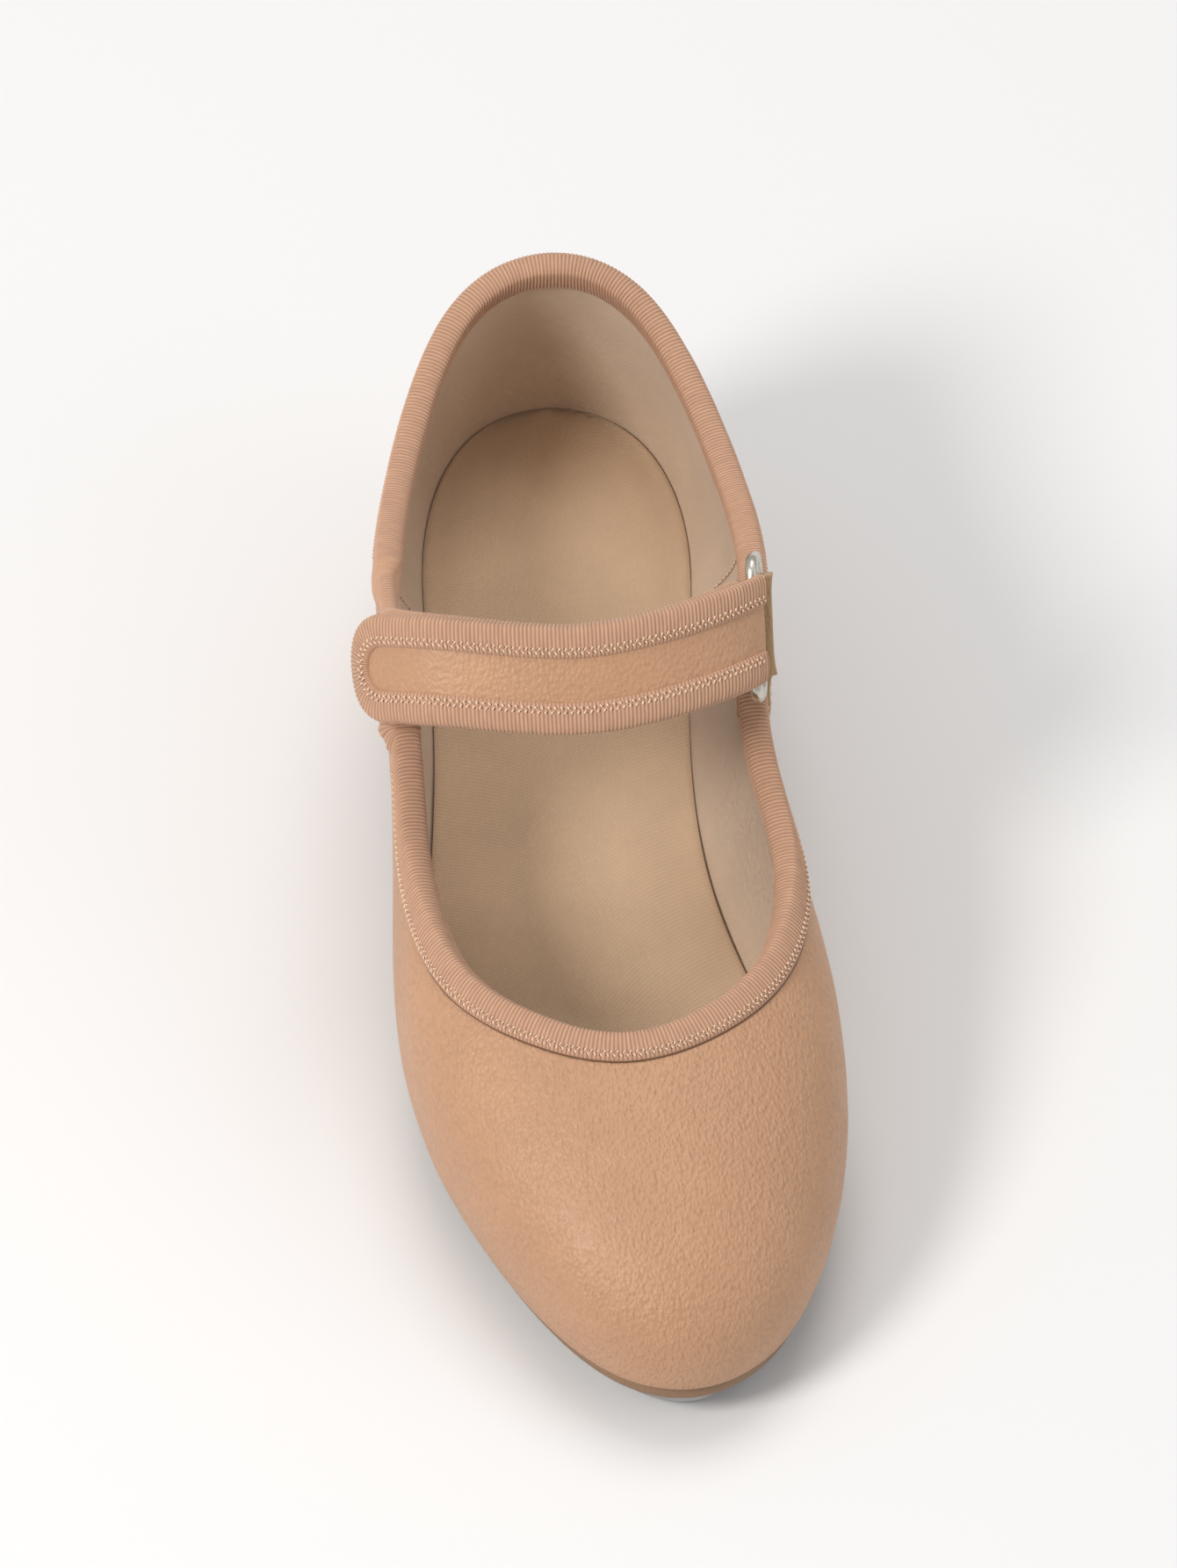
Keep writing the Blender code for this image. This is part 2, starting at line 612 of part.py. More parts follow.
def build_vamp(leather, pieces):
    """The vamp and the lower strap, cut in one piece: a panel of the wall with a band growing out of it."""
    stations = rows_between(-SIDE_SEAM, SIDE_SEAM)
    grid = wall(stations / COUNT, np.array(WALL_LEVELS), 0)
    rows, columns = grid.shape[:2]
    points = list(grid.reshape(-1, 3))
    faces = grid_faces(rows, columns)
    root = [i for i, at in enumerate(stations) if -ROOT_REAR - 0.01 <= at <= -ROOT_FRONT + 0.01]
    across = [(-stations[i] - ROOT_FRONT) / (ROOT_REAR - ROOT_FRONT) for i in root]
    previous = [i * columns + columns - 1 for i in root]
    for r in (*ROOT_ROWS, *ARCH_ROWS):
        current = list(range(len(points), len(points) + len(root)))
        points.extend(strap_face(np.array(across), r))
        for j in range(len(root) - 1):
            faces.append((previous[j], current[j], current[j + 1], previous[j + 1])[::-1])
        previous = current
    vamp = add_object("vamp", points, faces, leather, pieces)
    solidify(vamp, LEATHER)


# ---------------------------------------------------------------- tapes folded over an edge


def fold_tape(name, point, leg, thickness, finish, pieces):
    """Grosgrain folded over an edge. point(e, h) gives a row of points e mm in from the edge, h mm up."""
    top, bottom = GAP, -thickness - GAP
    skin, edge = TAPE, GAP
    section = (
        (leg, top + skin),
        (leg / 2, top + skin),
        (0.2 - edge, top + skin),
        (-edge - skin, top),
        (-edge - skin, bottom),
        (0.2 - edge, bottom - skin),
        (leg / 2, bottom - skin),
        (leg, bottom - skin),
        (leg, bottom),
        (leg / 2, bottom),
        (-edge, bottom),
        (-edge, top),
        (leg / 2, top),
        (leg, top),
    )
    section_sweep(name, np.stack([point(e, h) for e, h in section], 1), finish, pieces)


def topline_point(u):
    """Points about the topline, for fold_tape."""
    length = wall_length(u)[:, None]
    ones = np.ones((len(u), 1))
    up = wall_normal(u, ones)[1][:, 0]
    up /= np.linalg.norm(up, axis=1, keepdims=True)

    def point(e, h):
        return wall(u, 1 - max(e, 0) / length, h)[:, 0] - up * min(e, 0)

    return point


def strap_edge_point(r, rear):
    """Points about one edge of the lower strap, for fold_tape."""
    r = np.asarray(r, float)
    edge = np.full_like(r, 1.0 if rear else 0.0)
    across = strap_face(1 - edge, r) - strap_face(edge, r)
    along = strap_face(edge, np.minimum(r + 1e-3, 2)) - strap_face(edge, r - 1e-3)
    along /= np.linalg.norm(along, axis=1, keepdims=True)
    inward = across - (across * along).sum(axis=1, keepdims=True) * along
    width = np.linalg.norm(inward, axis=1)
    inward /= width[:, None]

    def point(e, h):
        share = max(e, 0) / width
        return strap_out(1 - share if rear else share, r, h) + inward * min(e, 0)

    return point


def upper_strap_edge_point(rear_first=True):
    """Points about the upper strap's edge: along the rear edge, round the tip and back, for fold_tape."""
    length = upper_strap_length()[1][-1] - 3.0
    straight = np.linspace(length, STRAP_HALF_WIDTH, 14)[:-1]
    turn = np.linspace(-math.pi / 2, math.pi / 2, 11)
    end = straight[::-1]

    def point(e, h):
        half = STRAP_HALF_WIDTH - e
        distance = np.concatenate([straight, STRAP_HALF_WIDTH - half * np.cos(turn), end])
        w = np.concatenate([np.full(13, -half), half * np.sin(turn), np.full(13, half)])
        return upper_strap_point(distance, w, h + LEATHER)

    return point


# ---------------------------------------------------------------- the strap and its ring


def build_strap(finishes, pieces):
    leather, grosgrain = finishes["leather"], finishes["grosgrain"]
    tape_rows = np.array((*ROOT_ROWS, *ARCH_ROWS[:-2]))
    front, rear = strap_edge_point(tape_rows[1:], False), strap_edge_point(tape_rows[1:], True)
    fold_tape("lower_strap_tape_front", front, STRAP_LEG, LEATHER, grosgrain, pieces)
    fold_tape("lower_strap_tape_rear", rear, STRAP_LEG, LEATHER, grosgrain, pieces)

    above_tape = 2 * GAP + TAPE
    patch_rows = np.array((*ROOT_ROWS[2:], *ARCH_ROWS[:5]))
    loop_patch = strap_out(np.arange(1, 5) / 5, patch_rows[:, None], above_tape)
    sheet("loop_patch", loop_patch, PATCH, finishes["hook"], pieces, offset=1.0)

    length = upper_strap_length()[1][-1]
    round_part = STRAP_HALF_WIDTH * (1 - np.cos(np.linspace(0.1, math.pi / 2, 6)))
    distance = np.concatenate([round_part, np.linspace(STRAP_HALF_WIDTH, length, 20)[1:]])
    inside = np.clip(STRAP_HALF_WIDTH - distance, 0, None)
    half = np.sqrt(STRAP_HALF_WIDTH**2 - inside**2)
    grid = upper_strap_point(np.repeat(distance[:, None], 5, 1), np.outer(half, np.linspace(1, -1, 5)), 0)
    sheet("upper_strap", grid, LEATHER, leather, pieces, offset=1.0)
    fold_tape("upper_strap_tape", upper_strap_edge_point(), STRAP_LEG, LEATHER, grosgrain, pieces)

    hook_rows = np.linspace(5.5, 26, 5)
    hook = upper_strap_point(
        np.repeat(hook_rows[:, None], 4, 1),
        np.tile(np.linspace(1, -1, 4) * (PATCH_HALF_WIDTH - 0.5), (5, 1)),
        -above_tape - PATCH,
    )
    sheet("hook_patch", hook, PATCH, finishes["hook"], pieces, offset=1.0)


def ring_frame():
    """Centres (x, q) of the strap bar and the anchor bar, and the direction from one to the other."""
    strap_bar = arch(BAR_ANGLE, LEATHER + 2 * GAP + WIRE / 2)
    direction = np.array([0.15, -0.989])
    return strap_bar, strap_bar + direction * BAR_SPACING, direction


def build_ring(finishes, pieces):
    strap_bar, anchor_bar, direction = ring_frame()
    corner = 2.6
    turns = np.linspace(0, math.pi / 2, 4)
    half = BAR_SPACING / 2
    middle = (strap_bar + anchor_bar) / 2
    loop = []
    for k, (sx, sw) in enumerate([(1, 1), (-1, 1), (-1, -1), (1, -1)]):
        for a in turns + k * math.pi / 2:
            along = sx * (half - corner) + corner * math.cos(a)
            w = sw * (RING_HALF_LENGTH - corner) + corner * math.sin(a)
            x, q = middle + direction * along
            loop.append(strap_point(x, q, w))
    data = bpy.data.curves.new("strap_ring", "CURVE")
    data.dimensions = "3D"
    data.bevel_depth = WIRE / 2 * MM
    data.bevel_resolution = 2
    line = data.splines.new("POLY")
    line.points.add(len(loop) - 1)
    for point, place in zip(line.points, loop):
        x, y, z = (np.array(place) + np.array([*CENTRE_SHIFT, 0])) * MM
        point.co = (x, y, z, 1)
    line.use_cyclic_u = True
    ring = bpy.data.objects.new("strap_ring", data)
    data.materials.append(finishes["nickel"])
    pieces.objects.link(ring)

    outward = np.array([-direction[1], direction[0]])
    build_fold(strap_bar, direction, outward, finishes["leather"], pieces)
    build_tab(anchor_bar, direction, outward, finishes["leather"], pieces)


def build_fold(bar, direction, outward, leather, pieces):
    """The band's half turn round the ring's strap bar."""
    near, far = WIRE / 2 + GAP, WIRE / 2 + GAP + LEATHER
    turn = np.radians(np.linspace(-84, 84, 9))
    circle = np.cos(turn)[:, None] * direction + np.sin(turn)[:, None] * outward
    loop = np.concatenate([bar + circle * far, (bar + circle * near)[::-1]])
    half = STRAP_HALF_WIDTH
    sections = np.stack([strap_point(loop[:, 0], loop[:, 1], w) for w in np.linspace(half, -half, 3)])
    section_sweep("strap_fold", sections, leather, pieces)


def build_tab(bar, direction, outward, leather, pieces):
    """The tab that holds the ring: round the anchor bar, its legs either side of the topline."""
    near, far = WIRE / 2 + GAP, WIRE / 2 + GAP + TAB
    turn = np.radians(np.linspace(-98, 98, 9))
    circle = -np.cos(turn)[:, None] * direction + np.sin(turn)[:, None] * outward
    columns = 5
    u = np.linspace(*TAB_STATIONS, columns) / COUNT
    length = wall_length(u)[:, None]
    low, top = 1 - 9.0 / length, 1 - 0.5 / length
    inner = -UPPER_THICKNESS - 2 * GAP
    sections = []
    for i, w in enumerate(np.linspace(TAB_HALF_WIDTH, -TAB_HALF_WIDTH, columns)):
        legs = {
            (v, h): wall(u, at, h)[i, 0]
            for v, at in (("low", low), ("top", top))
            for h in (GAP + TAB, GAP, inner, inner - TAB)
        }
        outside = strap_point(*(bar + circle * far).T, w)
        inside = strap_point(*(bar + circle * near).T, w)
        sections.append(
            np.array(
                [
                    legs["low", inner - TAB],
                    legs["top", inner - TAB],
                    *outside,
                    legs["top", GAP + TAB],
                    legs["low", GAP + TAB],
                    legs["low", GAP],
                    legs["top", GAP],
                    *inside[::-1],
                    legs["top", inner],
                    legs["low", inner],
                ]
            )
        )
    section_sweep("ring_tab", np.array(sections), leather, pieces)


def hang_on_joints():
    """Empties on the two hinge axes, with the moving pieces parented to them."""
    strap_bar, anchor_bar, _ = ring_frame()
    for name, bar, held in (
        ("ring_swing", anchor_bar, ("strap_ring", "strap_fold")),
        ("strap_swing", strap_bar, ("upper_strap", "upper_strap_tape", "hook_patch")),
    ):
        pivot = bpy.data.objects.new(name, None)
        pivot.empty_display_size = 10 * MM
        pivot.location = (strap_point(*bar, 0.0) + np.array([*CENTRE_SHIFT, 0])) * MM
        pivot.rotation_euler = (STRAP_LEAN + math.pi / 2, 0, 0)
        bpy.context.scene.collection.objects.link(pivot)
        bpy.context.view_layer.update()
        for piece in held:
            child = bpy.data.objects[piece]
            child.parent = pivot
            child.matrix_parent_inverse = pivot.matrix_world.inverted()
    bpy.data.objects["strap_swing"].parent = bpy.data.objects["ring_swing"]
    outer, inner = bpy.data.objects["ring_swing"], bpy.data.objects["strap_swing"]
    inner.matrix_parent_inverse = outer.matrix_world.inverted()


# ---------------------------------------------------------------- the shoe


def main():
    clear_scene()
    pieces = bpy.data.collections.new("tap_shoe")
    cutters = bpy.data.collections.new("cutters")
    bpy.context.scene.collection.children.link(pieces)
    bpy.context.scene.collection.children.link(cutters)
    finishes = {
        "leather": material("caramel_leather", (0.60, 0.36, 0.20), 0.45),
        "grosgrain": material("grosgrain", (0.62, 0.39, 0.25), 0.85),
        "lining": material("cotton_lining", (0.72, 0.56, 0.42), 0.9),
        "suede": material("sole_suede", (0.22, 0.12, 0.07), 0.9),
        "heel_cover": material("heel_cover", (0.55, 0.33, 0.19), 0.5),
        "rubber": material("rubber", (0.05, 0.04, 0.035), 0.8),
        "fibre": material("fibre_board", (0.04, 0.035, 0.03), 0.8),
        "board": material("insole_board", (0.55, 0.42, 0.28), 0.9),
        "cork": material("cork", (0.45, 0.28, 0.15), 0.9),
        "aluminium": material("aluminium", (0.80, 0.81, 0.83), 0.3, 1.0),
        "nickel": material("nickel", (0.75, 0.73, 0.70), 0.25, 1.0),
        "steel": material("steel", (0.60, 0.60, 0.62), 0.35, 1.0),
        "hook": material("hook_tape", (0.70, 0.55, 0.42), 0.9),
    }
    build_sole(finishes, pieces, cutters)
    build_upper(finishes, pieces)
    build_strap(finishes, pieces)
    build_ring(finishes, pieces)
    hang_on_joints()


main()
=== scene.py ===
"""The looks of a Mary Jane tap shoe for the right foot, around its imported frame.

The toe points to -Y and the inner side of the foot is +X. Lengths are in millimetres until a mesh is
made. The upper is one surface, wall(): u runs once round the shoe from the toe tip, along the inner
side to the heel and back, and v climbs from the feather edge (0) to the topline (1). The strap lies
on an arch over the instep, in a plane that leans back: strap_point() places it. These are the same
surfaces, sizes and stations as the CAD solids have.
"""

import json
import math

import bmesh
import bpy
import numpy as np
from mathutils import Matrix, Vector, noise
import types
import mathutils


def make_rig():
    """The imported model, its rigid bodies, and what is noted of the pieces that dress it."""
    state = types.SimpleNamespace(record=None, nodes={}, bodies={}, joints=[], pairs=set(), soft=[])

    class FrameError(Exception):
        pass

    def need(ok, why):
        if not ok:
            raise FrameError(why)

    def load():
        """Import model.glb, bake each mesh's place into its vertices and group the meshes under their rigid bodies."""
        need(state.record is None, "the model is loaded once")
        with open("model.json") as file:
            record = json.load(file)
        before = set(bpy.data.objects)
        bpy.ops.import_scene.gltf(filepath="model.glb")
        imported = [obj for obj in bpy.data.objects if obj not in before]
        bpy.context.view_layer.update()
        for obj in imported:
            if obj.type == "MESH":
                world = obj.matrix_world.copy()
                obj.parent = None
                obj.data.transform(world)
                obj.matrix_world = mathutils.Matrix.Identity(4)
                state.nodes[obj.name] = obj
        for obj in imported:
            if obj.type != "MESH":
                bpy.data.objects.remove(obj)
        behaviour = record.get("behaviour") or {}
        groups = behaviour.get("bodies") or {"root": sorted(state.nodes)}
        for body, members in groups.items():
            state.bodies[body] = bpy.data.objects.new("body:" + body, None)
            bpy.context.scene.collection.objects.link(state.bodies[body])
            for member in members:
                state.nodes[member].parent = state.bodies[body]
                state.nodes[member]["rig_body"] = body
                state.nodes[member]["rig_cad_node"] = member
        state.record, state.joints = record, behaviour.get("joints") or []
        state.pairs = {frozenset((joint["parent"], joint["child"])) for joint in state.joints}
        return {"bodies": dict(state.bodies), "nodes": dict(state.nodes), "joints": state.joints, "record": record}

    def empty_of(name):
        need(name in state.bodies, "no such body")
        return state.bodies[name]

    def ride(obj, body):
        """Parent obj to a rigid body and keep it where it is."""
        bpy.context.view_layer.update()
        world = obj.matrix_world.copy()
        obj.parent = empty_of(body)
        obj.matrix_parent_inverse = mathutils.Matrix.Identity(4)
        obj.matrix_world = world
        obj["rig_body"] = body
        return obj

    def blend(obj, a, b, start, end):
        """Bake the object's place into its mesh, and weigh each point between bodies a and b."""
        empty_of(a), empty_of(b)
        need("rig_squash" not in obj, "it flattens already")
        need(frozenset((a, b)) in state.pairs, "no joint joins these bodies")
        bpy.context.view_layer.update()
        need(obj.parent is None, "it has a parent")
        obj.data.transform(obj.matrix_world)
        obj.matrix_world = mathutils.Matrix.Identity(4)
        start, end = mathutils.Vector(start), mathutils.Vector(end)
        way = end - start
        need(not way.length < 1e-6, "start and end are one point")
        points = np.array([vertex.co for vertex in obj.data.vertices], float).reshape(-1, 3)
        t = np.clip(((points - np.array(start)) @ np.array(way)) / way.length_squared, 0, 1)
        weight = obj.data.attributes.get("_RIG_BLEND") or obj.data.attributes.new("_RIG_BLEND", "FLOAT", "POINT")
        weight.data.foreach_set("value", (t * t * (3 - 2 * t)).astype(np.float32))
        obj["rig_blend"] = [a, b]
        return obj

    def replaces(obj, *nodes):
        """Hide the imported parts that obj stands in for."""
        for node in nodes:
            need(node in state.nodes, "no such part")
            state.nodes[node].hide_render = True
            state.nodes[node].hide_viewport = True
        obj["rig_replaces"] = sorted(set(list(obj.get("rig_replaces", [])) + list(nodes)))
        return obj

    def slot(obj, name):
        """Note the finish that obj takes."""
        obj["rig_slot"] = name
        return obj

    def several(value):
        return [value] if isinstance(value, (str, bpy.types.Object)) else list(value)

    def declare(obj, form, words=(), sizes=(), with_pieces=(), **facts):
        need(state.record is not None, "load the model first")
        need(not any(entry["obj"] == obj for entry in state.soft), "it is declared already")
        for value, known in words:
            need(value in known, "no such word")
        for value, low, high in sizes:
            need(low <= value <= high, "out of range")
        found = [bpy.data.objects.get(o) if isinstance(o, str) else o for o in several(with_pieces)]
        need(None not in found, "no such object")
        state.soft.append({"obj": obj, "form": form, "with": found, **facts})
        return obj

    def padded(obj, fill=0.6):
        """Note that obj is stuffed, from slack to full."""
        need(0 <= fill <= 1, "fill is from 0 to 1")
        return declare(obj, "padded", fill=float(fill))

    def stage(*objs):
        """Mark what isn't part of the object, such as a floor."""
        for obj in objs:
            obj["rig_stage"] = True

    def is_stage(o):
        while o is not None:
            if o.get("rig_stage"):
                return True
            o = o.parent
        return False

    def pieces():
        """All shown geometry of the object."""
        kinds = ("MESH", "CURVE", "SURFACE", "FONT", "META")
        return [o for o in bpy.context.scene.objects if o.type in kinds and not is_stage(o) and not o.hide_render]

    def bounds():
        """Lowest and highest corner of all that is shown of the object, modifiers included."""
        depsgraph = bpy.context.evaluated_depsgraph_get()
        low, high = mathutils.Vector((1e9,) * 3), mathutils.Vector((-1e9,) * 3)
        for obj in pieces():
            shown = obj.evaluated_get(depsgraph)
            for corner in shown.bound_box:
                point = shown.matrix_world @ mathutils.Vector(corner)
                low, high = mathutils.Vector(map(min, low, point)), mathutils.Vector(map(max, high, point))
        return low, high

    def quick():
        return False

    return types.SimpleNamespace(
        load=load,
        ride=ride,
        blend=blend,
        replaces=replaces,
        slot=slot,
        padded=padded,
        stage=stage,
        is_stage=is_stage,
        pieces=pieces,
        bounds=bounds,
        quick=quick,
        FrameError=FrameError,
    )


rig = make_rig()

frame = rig.load()
cad_low, cad_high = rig.bounds()

MM = 0.001
CENTRE_SHIFT = np.array([-0.591, -3.854, 0.0])  # the middle of the shoe on the frame's origin

# Sole, from the floor up
GAP = 0.3
TAP = 3.0
TAP_BOARD = 1.5
SOLE = 2.8
FILLER = 1.2
INSOLE_BOARD = 1.8
SOCK = 2.5
SOLE_MARGIN = -2.2
FOREPART_HEIGHT = TAP + TAP_BOARD + 2 * GAP
HEEL_HEIGHT = 21.0
TOE_SPRING = 3.0
TOE_END, TOE_BREAK = -118.5, -84.0
WAIST_START, HEEL_BREAST = -36.0, 62.0
TAP_INSET = 6.0
TOE_TAP_REAR = -66.0
HEEL_LIFT = 3.0
HEEL_TAPER = 1.2
HEEL_TAP_INSET = 3.7
EDGE_BAND = 0.7
SOCK_LIFT = SOLE + GAP + FILLER + GAP + INSOLE_BOARD + GAP

# Upper
LEATHER = 1.3
LINING = 0.7
LINING_OUT = -2.6
UPPER_THICKNESS = 3.3
TOPLINE_LEG, STRAP_LEG = 5.5, 5.3
SIDE_SEAM = 6.35
ROOT_FRONT, ROOT_REAR = 5.0, 6.25

# Strap, in its own plane: x across, q up from the apex, w along its width towards the toe
STRAP_ORIGIN = np.array([-1.5, -3.0, 90.0])
STRAP_LEAN = math.radians(48)
ARCH_HALF_WIDTH, ARCH_RISE, ARCH_DROP = 34.0, 20.0, 24.8
STRAP_SWAY = (0.6, 3.6, -2.4)  # towards the toe at the root, the middle and the ring
STRAP_HALF_WIDTH = 9.5
LOWER_STRAP_ROOT, LOWER_STRAP_END = math.radians(-86), math.radians(65)
UPPER_STRAP_START, UPPER_STRAP_TIP = math.radians(66), math.radians(-82)
UPPER_STRAP_RISE = (
    (-82, 7.1), (-70, 6.4), (-56, 6.0), (-42, 5.8), (-28, 4.5), (-10, 3.5), (35, 3.5), (66, 4.7),
)
PATCH_HALF_WIDTH = 6.5
WIRE = 2.5
BAR_ANGLE = math.radians(68)
BAR_SPACING = 9.0
RING_HALF_LENGTH = 13.0
TAB = 1.4
TAB_HALF_WIDTH = 9.0
TAB_STATIONS = (5.15, 5.9)
STRAP_SPLIT = 1.2  # where the lower strap's blended length begins, 1 being its root and 2 its end

# Finishing
RIB_PITCH, RIB_HEIGHT = 0.75, 0.11
STITCH_PITCH = 1.25
THREAD = 0.22  # radius
SCREW_HEAD, SCREW_SHANK, COUNTERSINK = 3.0, 1.2, 1.9
TOE_SCREW_LENGTH, HEEL_SCREW_LENGTH = 6.0, 9.0

STATIONS = [
    ((10, -117.5), (3, -62, 50), (5, 21), (29, 9)),
    ((24, -112), (19, -56.5, 50), (6, 20), (24, 9)),
    ((35.5, -94.2), (31, -44, 49.5), (8, 18), (17, 10)),
    ((40, -64), (37, -27, 50), (9, 15), (9, 11)),
    ((35, -31), (37, -10, 52.5), (7, 14), (3.5, 13)),
    ((26, 4), (34, 9, 62), (5, 15), (2, 15)),
    ((24.5, 42), (35.5, 32, 74), (6, 18), (3, 18)),
    ((27, 82), (33, 69, 67), (7, 16), (3, 18)),
    ((19.5, 112), (20.5, 104, 74), (5, 17), (4, 18)),
    ((0, 122), (0.5, 113.5, 80), (5, 17), (5, 18)),
    ((-19, 112), (-20, 104, 74), (5, 17), (4, 18)),
    ((-28, 82), (-33, 69, 66.5), (7, 16), (3, 18)),
    ((-29, 42), (-37, 32, 74), (6, 18), (3, 18)),
    ((-32.5, 4), (-35.5, 9, 62), (5, 15), (2.5, 15)),
    ((-35, -31), (-35, -10, 52.5), (6, 14), (3.5, 13)),
    ((-31.5, -60), (-32.5, -27, 50), (7, 15), (8, 11)),
    ((-20.5, -87), (-26, -44, 49.5), (7, 18), (15, 10)),
    ((-5.5, -109.5), (-13, -56.5, 50), (6, 20), (22, 9)),
]
COUNT = len(STATIONS)


# ---------------------------------------------------------------- curves and surfaces


def spline_coefficients(points):
    """Control points of the closed cubic B-spline that passes through the given points."""
    points = np.asarray(points, float)
    n = len(points)
    system = np.zeros((n, n))
    for i in range(n):
        system[i, i] = 4 / 6
        system[i, (i + 1) % n] += 1 / 6
        system[i, (i - 1) % n] += 1 / 6
    return np.linalg.solve(system, points)


def spline(control, u):
    """Points and derivatives of the closed B-spline at u, an array, once round being 0 to 1."""
    n = len(control)
    at = np.mod(np.asarray(u, float), 1.0) * n
    i = np.floor(at).astype(int)
    t = (at - i)[..., None]
    p = [control[(i + k) % n] for k in (-1, 0, 1, 2)]
    weights = ((1 - t) ** 3, 3 * t**3 - 6 * t**2 + 4, -3 * t**3 + 3 * t**2 + 3 * t + 1, t**3)
    slopes = (-((1 - t) ** 2), 3 * t**2 - 4 * t, -3 * t**2 + 2 * t + 1, t**2)
    point = sum(w * q for w, q in zip(weights, p)) / 6
    slope = sum(s * q for s, q in zip(slopes, p)) / 2
    return point, slope


FEATHER = spline_coefficients([s[0] for s in STATIONS])
TOPLINE = spline_coefficients([s[1] for s in STATIONS])
LOW_BULGE = spline_coefficients([s[2] for s in STATIONS])
HIGH_BULGE = spline_coefficients([s[3] for s in STATIONS])


def unit(vectors):
    """The vectors at length 1."""
    return vectors / np.maximum(np.linalg.norm(vectors, axis=-1, keepdims=True), 1e-9)


def underside(y):
    """Height of the outsole's underside: toe spring, flat forepart, waist and heel seat."""
    y = np.asarray(y, float)
    toe = np.clip((TOE_BREAK - y) / (TOE_BREAK - TOE_END), 0, 1)
    waist = np.clip((y - WAIST_START) / (HEEL_BREAST - WAIST_START), 0, 1)
    rise = (HEEL_HEIGHT - FOREPART_HEIGHT) * waist * waist * (3 - 2 * waist)
    return FOREPART_HEIGHT + TOE_SPRING * toe**2 + rise


def sole_point(x, y, height):
    """The point height mm above the outsole's underside, square to it."""
    x, y, height = np.broadcast_arrays(x, np.asarray(y, float), height)
    slope = underside(y + 0.5) - underside(y - 0.5)
    size = np.hypot(1, slope)
    return np.stack([x, y - height * slope / size, underside(y) + height / size], -1)


def feather_normal(u):
    """Level directions out of the feather line."""
    slope = spline(FEATHER, u)[1]
    return unit(np.stack([slope[..., 1], -slope[..., 0]], -1))


def outline(u, out=0.0):
    """Plan point of the feather edge, moved outwards."""
    return spline(FEATHER, u)[0] + np.asarray(out)[..., None] * feather_normal(u)


def profile(u, t):
    """The wall's profile at u: a Bezier from the feather edge to the topline, at parameters t."""
    foot, top = spline(FEATHER, u)[0], spline(TOPLINE, u)[0]
    low, high = spline(LOW_BULGE, u)[0], spline(HIGH_BULGE, u)[0]
    slope = spline(TOPLINE, u)[1]
    side = unit(np.stack([slope[..., 1], -slope[..., 0]], -1))
    p0 = sole_point(foot[..., 0], foot[..., 1], SOLE + 1.5 * GAP)
    p1 = p0 + np.concatenate([feather_normal(u) * low[..., :1], low[..., 1:]], -1)
    p2 = top + np.concatenate([side * high[..., :1], -high[..., 1:]], -1)
    a, b, c, d = (p[..., None, :] for p in (p0, p1, p2, top))
    t = t[..., None]
    return (1 - t) ** 3 * a + 3 * (1 - t) ** 2 * t * b + 3 * (1 - t) * t**2 * c + t**3 * d


def wall_face(u, v):
    """Points of the upper's outer face on the grid u (n) by v (n by m), v by length along the profile."""
    steps = np.linspace(0, 1, 97)
    fine = profile(u, np.tile(steps, (len(u), 1)))
    run = np.linalg.norm(np.diff(fine, axis=1), axis=2).cumsum(axis=1)
    run = np.concatenate([np.zeros((len(u), 1)), run], 1)
    t = np.array([np.interp(row * total, length, steps) for row, total, length in zip(v, run[:, -1], run)])
    return profile(u, t)


def wall_length(u):
    """How long the wall is from the feather line to the topline, in mm."""
    steps = np.tile(np.linspace(0, 1, 65), (len(u), 1))
    return np.linalg.norm(np.diff(profile(np.asarray(u, float), steps), axis=1), axis=2).sum(axis=1)


def wall_normal(u, v):
    """Directions out of the wall."""
    step = 2e-3
    low, high = np.clip(v - step, 0, 1), np.clip(v + step, 0, 1)
    up = wall_face(u, high) - wall_face(u, low)
    along = wall_face(u + step, v) - wall_face(u - step, v)
    return unit(np.cross(along, up)), up


def wall(u, v, out=0.0):
    """Points out mm outside the upper's outer face, on the grid u by v."""
    u = np.asarray(u, float)
    v = np.broadcast_to(v, (len(u), np.shape(v)[-1]))
    return wall_face(u, v) + wall_normal(u, v)[0] * np.asarray(out, float)[..., None]


def strap_sway(x):
    """How far the strap's line bends towards the toe at x: most in the middle, and back at the ring."""
    root, middle, ring = STRAP_SWAY
    left = np.clip(np.asarray(x, float) / 35 + 1, 0, 1)
    right = np.clip(np.asarray(x, float) / 33, 0, None)
    past = np.clip(right - 1, 0, None)
    bend = np.minimum(right, 1) ** 1.6 + 1.6 * past
    return root + (middle - root) * left * left * (3 - 2 * left) + (ring - middle) * bend


def strap_point(x, q, w):
    """The point x across, q above the strap's apex and w along its width."""
    x, q, w = np.broadcast_arrays(x, q, w + strap_sway(x))
    up = np.array([0, -math.sin(STRAP_LEAN), math.cos(STRAP_LEAN)])
    along = np.array([0, -math.cos(STRAP_LEAN), -math.sin(STRAP_LEAN)])
    across = np.array([1.0, 0, 0])
    return STRAP_ORIGIN + x[..., None] * across + q[..., None] * up + w[..., None] * along


def arch(angle, out=0.0):
    """(x, q) on the instep arch, out mm outside it. Past a quarter turn it runs straight down."""
    angle = np.asarray(angle, float)
    turn = np.clip(angle, -math.pi / 2, math.pi / 2)
    x = ARCH_HALF_WIDTH * np.sin(turn)
    q = ARCH_RISE * np.cos(turn) - ARCH_DROP - ARCH_RISE * np.abs(angle - turn)
    nx, nq = np.sin(turn) / ARCH_HALF_WIDTH, np.cos(turn) / ARCH_RISE
    size = np.hypot(nx, nq)
    return np.stack([x + out * nx / size, q + out * nq / size], -1)


